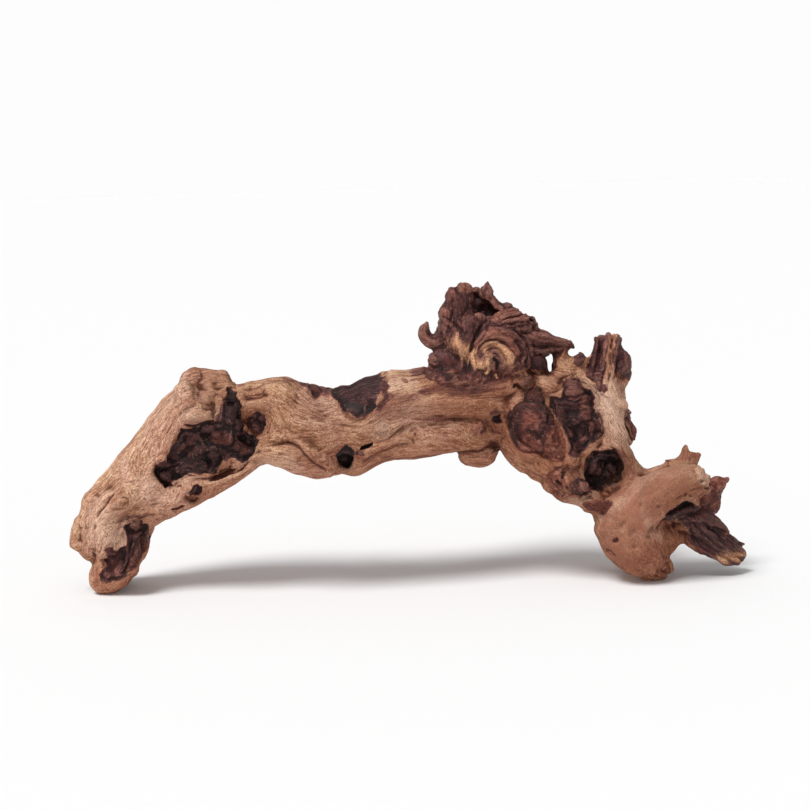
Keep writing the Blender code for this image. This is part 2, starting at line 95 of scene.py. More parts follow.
# The solids' forks, as outlines (x, z); what is left is the right leg. The main limb's skin is in
# two pieces, the left one up to the middle of the limb.
FORKS = {
    "left_limb": [(-76, 200), (-76, -20), (-230, -20), (-230, 200)],
    "burl": [
        (4, 200), (4, 138), (14, 132), (30, 121), (66, 118.5), (82, 121), (90, 126), (93, 134), (104, 134),
        (112, 140), (112, 200),
    ],
    "upright_stub": [(112.5, 200), (110, 124), (117, 111), (126, 108), (136, 111), (144, 118), (144, 200)],
    "prong": [(167, 12), (165, 36), (172, 41), (182, 37), (194, 32), (215, 30), (215, -20), (167, -20)],
    "main_limb": [(60.5, 200), (60.5, -20), (-230, -20), (-230, 200)],
}

# The same sideways wander as in the solids: (x, how far towards +Y), and the drop with it.
BENDS = [
    (-230, 0), (-176, 0), (-130, -3), (-80, -11), (-30, -12), (20, -2), (66, 7), (110, 4), (140, 0),
    (230, 0),
]
DROP = 0.14

# Lines that the fibres follow, each with its reach (mm) and its points (x, y, z) before the wander.
GRAIN = {
    "limb": (30, [
        (-210, -5, 18), (-198, -5, 30), (-186, -5, 44), (-170, -3, 58), (-155, 0, 68), (-138, 2, 82),
        (-118, 2, 97), (-97, 4, 99), (-80, 4, 100), (-60, 2, 95), (-38, 0, 93), (-10, 0, 101), (22, 2, 104),
        (56, 3, 102), (80, 0, 97), (98, 0, 84), (112, -2, 68), (124, -6, 50), (134, -12, 34),
        (146, -14, 12), (158, -14, -4),
    ]),
    "toe": (15, [(-172, -2, 52), (-172, -3, 38), (-175, -3, 20), (-184, -3, -6)]),
    "hook": (15, [
        (130, -20, 6), (131, -24, 22), (136, -26, 38), (146, -27, 51), (160, -27, 58), (174, -26, 60),
        (188, -22, 60),
    ]),
    "burl": (22, [(48, 2, 112), (46, 0, 128), (43, 2, 150), (44, 2, 186)]),
    "beak": (10, [(58, -4, 141), (66, -4, 144), (76, -3, 145), (90, -2, 143.5), (106, -1, 140)]),
    "flake": (8, [(52, -12, 152), (60, -12, 155), (68, -10, 158), (82, -7, 158)]),
    "horn": (6, [(32, -6, 150), (22, -7, 147), (14, -7, 150), (14.5, -7, 160)]),
    "swirl": (8, [
        (46, -22, 129), (46.5, -22, 134), (48, -23, 139.4), (53, -24, 143.4), (59.4, -24, 143.4),
        (64.4, -23, 139.6), (66.4, -21, 133), (66, -20, 127),
    ]),
    "stub": (13, [(118, -2, 108), (119, 1, 120), (123, 3, 134), (127, 4, 150)]),
    "prong": (10, [(154, -13, 36), (166, -13, 33), (176, -11, 27), (186, -9, 20), (206, -5, 7)]),
    "fin": (12, [(158, 4, 40), (174, 3, 44), (186, 5, 50), (198, 6, 58)]),
    "spike": (7, [(166, -8, 64), (168.5, -7, 72), (170, -7, 84)]),
}

# Outlines (x, z) on the side that the eye sees.
OUTLINES = {
    "shoulder pocket": [
        (-149.3, 75.6), (-147.2, 79.5), (-142.2, 82.3), (-137, 91), (-134.6, 98), (-129, 98.6),
        (-122.8, 98.6), (-112, 102.2), (-110.8, 105), (-109.5, 114), (-105.2, 121.6), (-101.4, 120.5),
        (-97.3, 112.5), (-97.3, 101.7), (-97, 95.5), (-91.8, 93), (-86.8, 89.5), (-89.2, 84.6), (-94.5, 76),
        (-98.4, 76), (-103, 80), (-109, 78.3), (-111, 73.4), (-116, 71), (-129, 71.5), (-134, 69.2),
        (-138, 67), (-140, 63.6), (-144, 61.8), (-149.6, 67.6), (-151.4, 73),
    ],
    "limb knot": [(-93.5, 100), (-91, 105.5), (-87, 107), (-82.5, 104), (-81, 98), (-84, 94), (-89, 94)],
    "under hole": [
        (-131.6, 59), (-129.6, 63.4), (-125.4, 64.4), (-121.6, 62), (-121.8, 58.4), (-126.4, 56.2),
    ],
    "foot pocket": [
        (-170, 39), (-167, 42.5), (-160, 42.5), (-156, 39), (-156.5, 30), (-160, 21), (-164, 15),
        (-169, 10), (-175, 5), (-181, 3), (-187, 4.5), (-188, 9), (-184, 14), (-183, 20), (-181, 26),
        (-177, 24), (-173, 27), (-169, 28), (-168.5, 33),
    ],
    "top notch": [(-57.6, 121.6), (-53.4, 115.8), (-50.4, 114), (-46.4, 118.4), (-47, 124), (-56, 126)],
    "top patch": [
        (-46, 119.4), (-40, 112.3), (-36.5, 105.4), (-32, 103), (-28, 101.7), (-22, 102), (-18, 105),
        (-14.6, 110), (-12.6, 117), (-12, 127), (-14, 138), (-46, 138),
    ],
    "limb hole": [
        (-41.2, 79.2), (-39.2, 81.8), (-37, 84.6), (-35, 85), (-30.6, 83), (-29.2, 79), (-30.4, 74.4),
        (-32.6, 70.4), (-36.4, 70), (-39.4, 72.4), (-41, 76),
    ],
    "limb slit": [
        (-27.4, 80), (-25, 82.6), (-22.6, 84.2), (-20.6, 84.4), (-18.2, 86.8), (-17.8, 83.4), (-21, 81.2),
        (-24.6, 79.4),
    ],
    "cavity": [
        (41.4, 173.6), (45, 174.4), (48.3, 172.6), (51.5, 170.4), (54.3, 167.6), (57.2, 165), (60, 162.2),
        (57.8, 159.4), (54, 157.4), (50.6, 158.6), (49.6, 161.4), (46.6, 161.2), (43.6, 164), (42, 168),
    ],
    "square hole": [(52.9, 99), (54.2, 100.6), (58.9, 101), (59.3, 95.2), (55.8, 94.6), (53.2, 96.8)],
    "round knot": [(42.5, 98), (47, 98), (50, 95), (49.7, 91), (47, 88.6), (43, 89.2), (41, 92.6)],
    "olive knot": [
        (69, 119.6), (72.8, 123.7), (77.4, 122.7), (78.8, 119.3), (76.3, 115.4), (72.6, 115.4), (69, 116.8),
    ],
    "dome": [
        (63.7, 92), (65, 99), (69, 106), (72.5, 108), (74, 113), (79, 114.8), (84, 111.5), (86, 105),
        (90, 98), (92.5, 90), (90, 82), (84, 77), (76, 76), (70, 78.5), (65.5, 84),
    ],
    "red apron": [(85, 80), (91, 86), (94, 92), (97.5, 87), (98.5, 76), (95, 70), (88, 71), (82, 74)],
    "knuckle pocket": [
        (102, 122.5), (96, 118), (95, 110.5), (88, 110), (87.5, 103), (91.5, 97), (95, 92), (99, 86),
        (99.5, 80), (98.5, 75), (101, 72), (105, 72.5), (111, 78), (117, 83), (119, 89), (118.5, 97),
        (115.5, 104), (116, 109), (113.5, 114), (109, 116), (107, 120),
    ],
    "knuckle hole": [
        (107.6, 63), (110.4, 70), (113.6, 75.6), (119, 77.4), (127, 77.6), (131, 73), (132.4, 66),
        (130, 59), (124.6, 54.6), (118, 52), (112.5, 52.4), (108.6, 57),
    ],
    "hole snag": [
        (99, 53.4), (102, 57.6), (106, 59.4), (112, 57.6), (115, 54), (110, 50.4), (103, 48.8),
        (99.8, 50.4),
    ],
    "leg burr": [(88, 62), (91, 66), (97, 67), (101, 62), (101, 55), (98, 48), (93, 48), (89, 54)],
    "burl": [
        (4, 165), (6, 146), (16, 138), (16, 131), (14, 127), (24, 121.5), (33, 118.5), (46, 120.5),
        (58, 122), (70, 126), (77, 128.5), (82, 125.5), (88, 124.5), (93, 125), (93.5, 131), (97, 138.5),
        (110, 138), (110, 165), (80, 190), (20, 190),
    ],
    "stub bundle": [
        (112, 150), (113, 144), (114, 134.8), (111, 126.2), (110.1, 120.3), (114, 115), (118.6, 110.4),
        (121.4, 109.6), (122.6, 114), (121.9, 121.4), (125.5, 130.1), (127.6, 136), (130.6, 139.8),
        (132.4, 145), (131, 152),
    ],
    "stub lump": [
        (127, 138), (130, 146), (140, 146), (140, 124), (135.5, 118.5), (132, 121), (127.5, 123),
        (127, 130),
    ],
    "back bump": [(133, 97), (136, 91), (138, 86), (139.5, 79), (146, 78), (146, 100), (134, 100)],
    "knob": [(102, 131), (105, 137), (109, 137.5), (112, 132), (109, 128.5), (105, 128)],
    "spikes": [(164, 68.8), (168.5, 68.2), (173, 69), (180, 68.5), (182, 82), (160, 84), (161, 72)],
    "low spike": [(154.5, 67.5), (160, 68.2), (160, 76), (155, 76)],
    "fin": [
        (177.5, 63), (179, 57), (177, 51), (177.5, 46), (176.5, 40), (181, 37), (186, 33), (196, 30),
        (202, 64), (190, 66),
    ],
    "prong": [
        (156.2, 35.2), (161, 38.5), (164.4, 40), (168, 41.4), (173.8, 41), (177.7, 38.9), (180, 38.4),
        (184.4, 36.8), (188, 34.6), (193, 30), (198, 28), (214, 22), (214, 2), (194, 2), (186, 5),
        (178, 9.4), (175.5, 12.9), (172.2, 17.8), (170.2, 21.9), (169.2, 27), (166, 29.8), (161.7, 31),
        (158, 32.6),
    ],
    "hook mouth": [
        (156, 34.4), (161, 38.6), (163.8, 41.9), (167.1, 42.9), (169.8, 43.2), (173.8, 41.4), (176.4, 39.6),
        (170, 38.2), (164.4, 36.8), (160, 34.6),
    ],
    "heel": [(150.5, -3), (151, 6), (154, 11), (158, 12), (160, 0), (157, -4)],
    "shoulder patch": [
        (-122, 132), (-112, 132.5), (-104, 131), (-103, 124), (-107, 118), (-109, 106), (-115, 103),
        (-121, 106), (-123, 118), (-124, 126),
    ],
    "burl base": [
        (12, 131), (14, 124), (24, 119), (36, 116.5), (50, 118.5), (62, 122), (64, 126.5), (50, 127),
        (42, 129), (30, 134), (18, 134),
    ],
}

# What the skin's marks are called, each from 0 to about 1: how much it is heartwood, how dark the
# heartwood is, how reddish brown the wood is, how much of the heartwood is sound and tan, how grey
# and smooth, how much darker the sapwood is painted, partly its own tone and partly painted shade,
# how much lighter, partly bleached and partly painted light, and how folded and crumbled the wood is.
MARKS = ("heart", "dark", "red", "tan", "grey", "shade", "pale", "gnarl")

# What lies in an outline: how deep it is sunk below the solid (mm), over how wide a rim (mm), its
# marks, and the y behind which alone it counts, if any.
AREAS = {
    "shoulder pocket": dict(deep=1.4, rim=1.6, heart=1, dark=0.78, gnarl=0.12),
    "limb knot": dict(deep=0.8, rim=1.2, heart=1, dark=0.55, gnarl=0.4),
    "under hole": dict(deep=1.6, rim=1.2, heart=1, dark=0.55, red=0.3, gnarl=0.3),
    "foot pocket": dict(deep=1.6, rim=1.6, heart=1, dark=0.55, gnarl=0.2),
    "top notch": dict(deep=1.2, rim=1.5, heart=1, dark=0.5, red=0.3, gnarl=0.2),
    "top patch": dict(deep=0.7, rim=2, heart=1, dark=0.62, gnarl=0.05),
    "limb hole": dict(deep=1, rim=1.2, heart=1, dark=0.85, gnarl=0.1),
    "limb slit": dict(deep=3, rim=1, heart=1, dark=1),
    "cavity": dict(deep=2.5, rim=1.6, heart=1, dark=1),
    "square hole": dict(deep=3, rim=1, heart=1, dark=0.85, gnarl=0.2),
    "round knot": dict(deep=-0.3, rim=1.4, heart=0.62, dark=0.2, red=0.8, gnarl=0.5),
    "olive knot": dict(deep=-0.8, rim=1.2, heart=1, dark=0.5, gnarl=0.1, tan=0.22),
    "dome": dict(deep=-0.6, rim=2.5, heart=1, dark=0.62, red=0.45, gnarl=0.15),
    "red apron": dict(deep=0, rim=2, heart=0.7, dark=0.25, red=0.9, gnarl=0.35),
    "knuckle pocket": dict(deep=1.6, rim=1.6, heart=1, dark=0.72, red=0.1, gnarl=0.15),
    "knuckle hole": dict(deep=3, rim=1.8, heart=1, dark=0.8, gnarl=0.15),
    "hole snag": dict(deep=-0.2, rim=1.6, heart=1, dark=0.68, gnarl=0.3),
    "leg burr": dict(deep=0.2, rim=3, heart=0.95, dark=0.32, red=1, gnarl=0.5),
    "burl": dict(deep=0, rim=2, heart=1, dark=0.34, red=0.12, gnarl=0.36),
    "stub bundle": dict(deep=0.2, rim=1.5, heart=1, dark=0.3, red=0.2, gnarl=0.1),
    "stub lump": dict(deep=0, rim=1.5, heart=1, dark=0.45, gnarl=0.5),
    "back bump": dict(deep=0, rim=1.5, heart=0.9, dark=0.3, red=0.4, gnarl=0.5),
    "knob": dict(deep=0, rim=1.5, heart=0.9, dark=0.5, gnarl=0.4),
    "spikes": dict(deep=0, rim=1.5, heart=0.5, red=0.7, gnarl=0.3),
    "low spike": dict(deep=0, rim=1, heart=0.9, dark=0.3, gnarl=0.2),
    "fin": dict(deep=0, rim=1.5, heart=0.95, dark=0.32, red=0.8, gnarl=0.4, behind=-14),
    "prong": dict(deep=0, rim=1.5, heart=1, dark=0.56, gnarl=0.12),
    # The hook mouth is painted dark, as painted shadow in the recess above the prong.
    "hook mouth": dict(deep=3, rim=1.2, heart=1, dark=0.92),
    "heel": dict(deep=0.3, rim=1.5, heart=0.5, dark=0.1, red=0.7, gnarl=0.8),
    "shoulder patch": dict(deep=0.6, rim=2, red=0.3, grey=0.35, gnarl=0.32),
    "burl base": dict(deep=0, rim=2, heart=1, dark=0.42, red=0.6, gnarl=0.6),
}

# Soft moves of what the eye sees at (x, z), over a radius: each as (x, z, radius, to +X, to +Z).
# The last ones move only the hook, which ends between the two y given, and not the fin behind it.
PUSHES = [
    (94, 47, 9, -1.4, -2.2), (60, 72, 8, 1, 3.2), (70, 64, 8, 1, 2.2), (80, 58, 5, 0.6, 1),
    (138.5, 95, 6, -2.4, 0), (138.5, 82, 7, -1.8, 0), (-8, 71, 13, 0, 2.4), (183, 63, 6, -0.6, -2.4),
    (98, 146, 8, 0, -2.4), (26, 173, 7, 2.4, 0), (-61, 126, 9, 0, -2.2), (-98, 127, 7, 0, -3.6),
    (-88, 127, 8, 0, -1.6), (-106, 133, 5, -0.6, 1.2), (-127, 134, 6, -0.6, 1.6), (58.5, 171, 5, -2.4, 0),
    (111.5, 137, 4, 0, -3), (89.2, 129, 3.2, 0.3, -5.6), (135.4, 139, 5, -2.2, 0), (-200, 21, 6, 1.6, 1.4),
    (21.4, 153, 4, 2, 0), (135.5, 113, 4, -1.8, 0), (134.5, 104.5, 4, 1.8, 0), (-153.6, 32, 5, -1.8, 0),
    (113.8, 30, 8, -2, 0), (-12, 129, 14, 0, 1.6), (171, 15, 5, -1.2, -1.4), (-39, 119, 7, 0, 2.4),
    (193, 4, 5, 0, -1.4), (-184, 71, 7, -1, 1), (-140, 44.5, 5, 0, -1.4), (-43, 66.6, 6, 0, -1.6),
    (166, 16, 5, 0, 1.6), (80, 163, 7, 0, -3), (142, 66.5, 5, 0, 1.2), (136.6, 124, 4, 1, 0),
    (-198.4, 49, 7, 1.8, -0.4), (-129, 134, 5, 0.4, -1.4), (140.7, 89, 6, -1.8, 0), (112, 35, 5, 1.4, 1.2),
    (204.6, 16.4, 5, -1.8, 0), (103, 139.8, 4, -1, 0), (81.4, 157, 4, -0.6, -1.2),
    (114.5, 140.7, 4, 1.6, 0), (-149.4, 110.5, 6, 0.8, -0.8), (56, 74.4, 4, -0.8, 1),
    (30.6, 178, 4, 0, -1.4), (172.5, 76, 4, -1.6, 0), (-25, 123.6, 7, 0, 1.2), (85, 53.4, 4, -0.8, -1),
    (70, 64.6, 4, -0.4, -1.2), (-67, 126, 5, 0, 1.2), (-95.5, 123, 4, 0, 1.8), (-104.8, 130, 4, 0.8, 0.8),
    (-35.4, 70.4, 3.4, 0, 1.8), (193, 59.4, 5, 1, -3.4), (-134.9, 125.6, 5, 0.8, -1.2),
    (-44.7, 120.3, 4, 0, -1.4), (42, 179.4, 4, 0, -1.4), (90.7, 147.4, 3.4, 0, -1.4),
    (82.5, 151.9, 3, 0, -1.2), (54.9, 73.5, 4, 0, 1.2), (-73, 70.1, 6, 0, 1.3), (-120.9, 52.6, 5, 0.3, 1.3),
    (-164.1, 10.2, 4, 1, -1), (176.1, 12.4, 4, 0, -1.4), (78.4, 158.6, 3, 0.6, 1.2),
    (86.3, 134.9, 3, 0, -1.4),
]
HOOK_PUSHES = [
    (183.5, 46, 6, -4.5, 0), (186, 56, 5, -2.6, 0), (187, 53, 4, -3, 0), (183, 40, 5, -5, 0.6),
]
HOOK_END = (-16, -8)

# Broad soft ridges in the sapwood, and valleys where less than 0: how high (mm), how wide (mm) and
# the line (x, z) that each follows.
FOLDS = {
    "arch valley": (-1.9, 1.7, [(-176.4, 60.4), (-180, 55.4), (-184.1, 49.7), (-188.2, 44)]),
    "arch recess": (-1, 2.6, [(-187.5, 56.6), (-184.4, 61), (-180.2, 63.2), (-176.6, 62.4), (-174.6, 59)]),
    "left lobe": (1.2, 4.5, [(-190.4, 60.4), (-195.7, 50.9), (-199.9, 41.5)]),
    "middle ridge": (1.4, 2.2, [(-172.8, 60), (-177, 52), (-183, 44)]),
    "nose groove": (-1.2, 1.6, [(-188.8, 41), (-188.4, 35), (-189.2, 28.5), (-189.9, 20)]),
    "tip ridge": (0.9, 2.6, [(-194, 38.4), (-194.4, 29.7), (-193.5, 21)]),
    "tip valley": (-1.2, 1.6, [(-197.6, 40), (-198.4, 30)]),
    "nose bulge": (1, 6, [(-181.3, 40), (-178.8, 29.2)]),
    "foot brow": (1.3, 2.6, [(-167.8, 44.6), (-156.2, 47.6), (-148.6, 48.2)]),
    "rim crease": (-1, 3, [(-119.7, 133), (-121.9, 124.8), (-122.7, 117.3), (-126, 111), (-131.6, 108)]),
    "rim left": (0.8, 5, [(-127, 132), (-129, 124), (-132, 116)]),
    "lip ridge": (1.3, 3, [(-130, 104), (-122, 104.5), (-114, 106)]),
    "tab ridge": (1.3, 2.2, [(-101.8, 125), (-97.6, 119.3), (-96.4, 114.5)]),
    "tab hollow": (-3.4, 2.6, [(-95.2, 116), (-89.9, 117.2), (-81, 118)]),
    "ridge above": (1.2, 2.6, [(-94.4, 122), (-83.1, 122.6), (-69.9, 123.6)]),
    "strand over slit": (1.4, 2, [(-135.2, 67), (-125.8, 68.8), (-116.4, 68.4), (-105.8, 72.6), (-97, 76)]),
    "slit valley": (-1.6, 1.4, [(-119, 65.4), (-109.9, 67.4), (-99.3, 72), (-93, 76.4)]),
    "strand below slit": (1.1, 2.4, [(-120, 61.6), (-108, 65), (-97, 69.6)]),
    "eddy groove": (-1.8, 1.8, [
        (-82, 85.8), (-74.7, 87.1), (-68, 86.6), (-62.3, 82.4), (-57.8, 75.8), (-53.1, 71.8), (-47.4, 69.6),
    ]),
    "eddy ridge": (1.4, 3.2, [(-80, 80), (-70, 81), (-64, 76)]),
    "eddy upper ridge": (0.8, 4, [(-86, 87), (-76, 90.4), (-66, 88), (-58, 82), (-52.6, 76)]),
    "eddy upper valley": (-0.3, 3, [(-88, 93), (-74, 96), (-62, 92), (-54, 84), (-48, 77)]),
    "fold right": (1.2, 2.6, [(-50, 82), (-46, 76), (-42, 71)]),
    "slit collar": (1, 1.8, [(-28, 78.6), (-22, 80.2), (-17, 84.4)]),
    "rail high": (1.3, 1.7, [(-24.4, 77), (-16, 81.6), (-7, 86.2), (4, 88)]),
    "rail groove": (-0.4, 2, [(-25, 72.6), (-15.6, 78.6), (-4, 83.6), (10, 86)]),
    "rail low": (1.3, 2.4, [(-28, 68), (-18, 74), (-6, 78), (10, 80), (26, 80.4)]),
    "ring groove": (-0.25, 1.6, [(-25, 86), (-25, 92), (-21, 97.6), (-13, 100.6), (-6.6, 97.6)]),
    "knob neck": (-0.5, 2, [(30, 79), (36, 83), (50, 84), (60, 80)]),
    "stain ridge": (1.1, 3.6, [(18, 110), (36, 108), (56, 111), (70, 117)]),
    "saddle ridge": (1.2, 3, [(82, 119), (92, 121), (100, 127)]),
    "leg ridge": (1.2, 3.4, [(121, 111), (126, 98), (132, 82)]),
    "divide": (1, 1, [(89.6, 111), (92.6, 100), (95.6, 92), (98.6, 84), (98.6, 77)]),
    "hole brow": (0.5, 2.4, [(108, 72), (113, 78), (121, 79.4), (129, 78), (133.4, 71), (132.6, 62)]),
    "hook brow": (1, 3.6, [(122, 36), (132, 50), (142, 60.6)]),
    "hook valley": (-1.3, 3, [(158, 32), (151, 28), (146, 20)]),
    "hook low valley": (-0.9, 4, [(130, 32), (136, 24), (138, 14)]),
    "shin valley": (-0.5, 3.4, [(-160, 70), (-152, 80), (-146, 88)]),
    "shin ridge": (0.9, 4, [(-176, 66), (-164, 80), (-150, 98), (-138, 112)]),
    "patch pit": (-1, 3, [(-112, 126), (-110, 120)]),
    "patch ridge": (1, 2.4, [(-117, 128), (-115, 120), (-118, 112)]),
    "limb crown": (0.8, 5, [(-96, 108), (-78, 110), (-60, 106)]),
    "limb dip": (-1, 4, [(-66, 114), (-56, 108), (-46, 100)]),
    "swirl arc": (1.2, 1.5, [
        (48.2, 140.4), (52.6, 143.6), (58.3, 142.5), (63, 139), (65.8, 135), (66.4, 130.2),
    ]),
    "swirl groove": (-0.9, 0.8, [(51, 138.4), (54.4, 141), (59.2, 139.8), (62.4, 136.1), (63.4, 131.3)]),
    "swirl inner arc": (0.8, 1, [(53.4, 137.6), (57.4, 138.2), (60.4, 135), (61, 131)]),
    "swirl belly": (1.4, 3.2, [(49, 135.6), (52.4, 131)]),
    "torn step": (-1.2, 1.6, [(183.5, 52), (179.6, 50.6), (174.6, 49.6), (168, 47.6)]),
    "eddy tail": (-1, 1.6, [(-98, 78), (-92, 80.4), (-86, 83)]),
    "ear": (1.2, 1.6, [(-175, 51), (-171.6, 54), (-169.4, 53.6)]),
    "ledge step": (-0.9, 1.2, [(161, 42.6), (166, 45.6), (171.6, 46.6), (176.8, 47.4)]),
    "ledge": (0.6, 1.4, [(165, 43.8), (170, 44.6), (176, 43.4)]),
    "prong fibre": (0.7, 0.7, [(161, 36.4), (168, 38.2), (176, 37.6), (183, 34.6), (188, 31)]),
    "prong fibre mid": (0.6, 0.7, [(164, 34), (172, 34.2), (180, 31), (186, 27)]),
    "prong fibre low": (0.6, 0.8, [(171, 29.6), (176, 24), (184, 17), (192, 12)]),
}

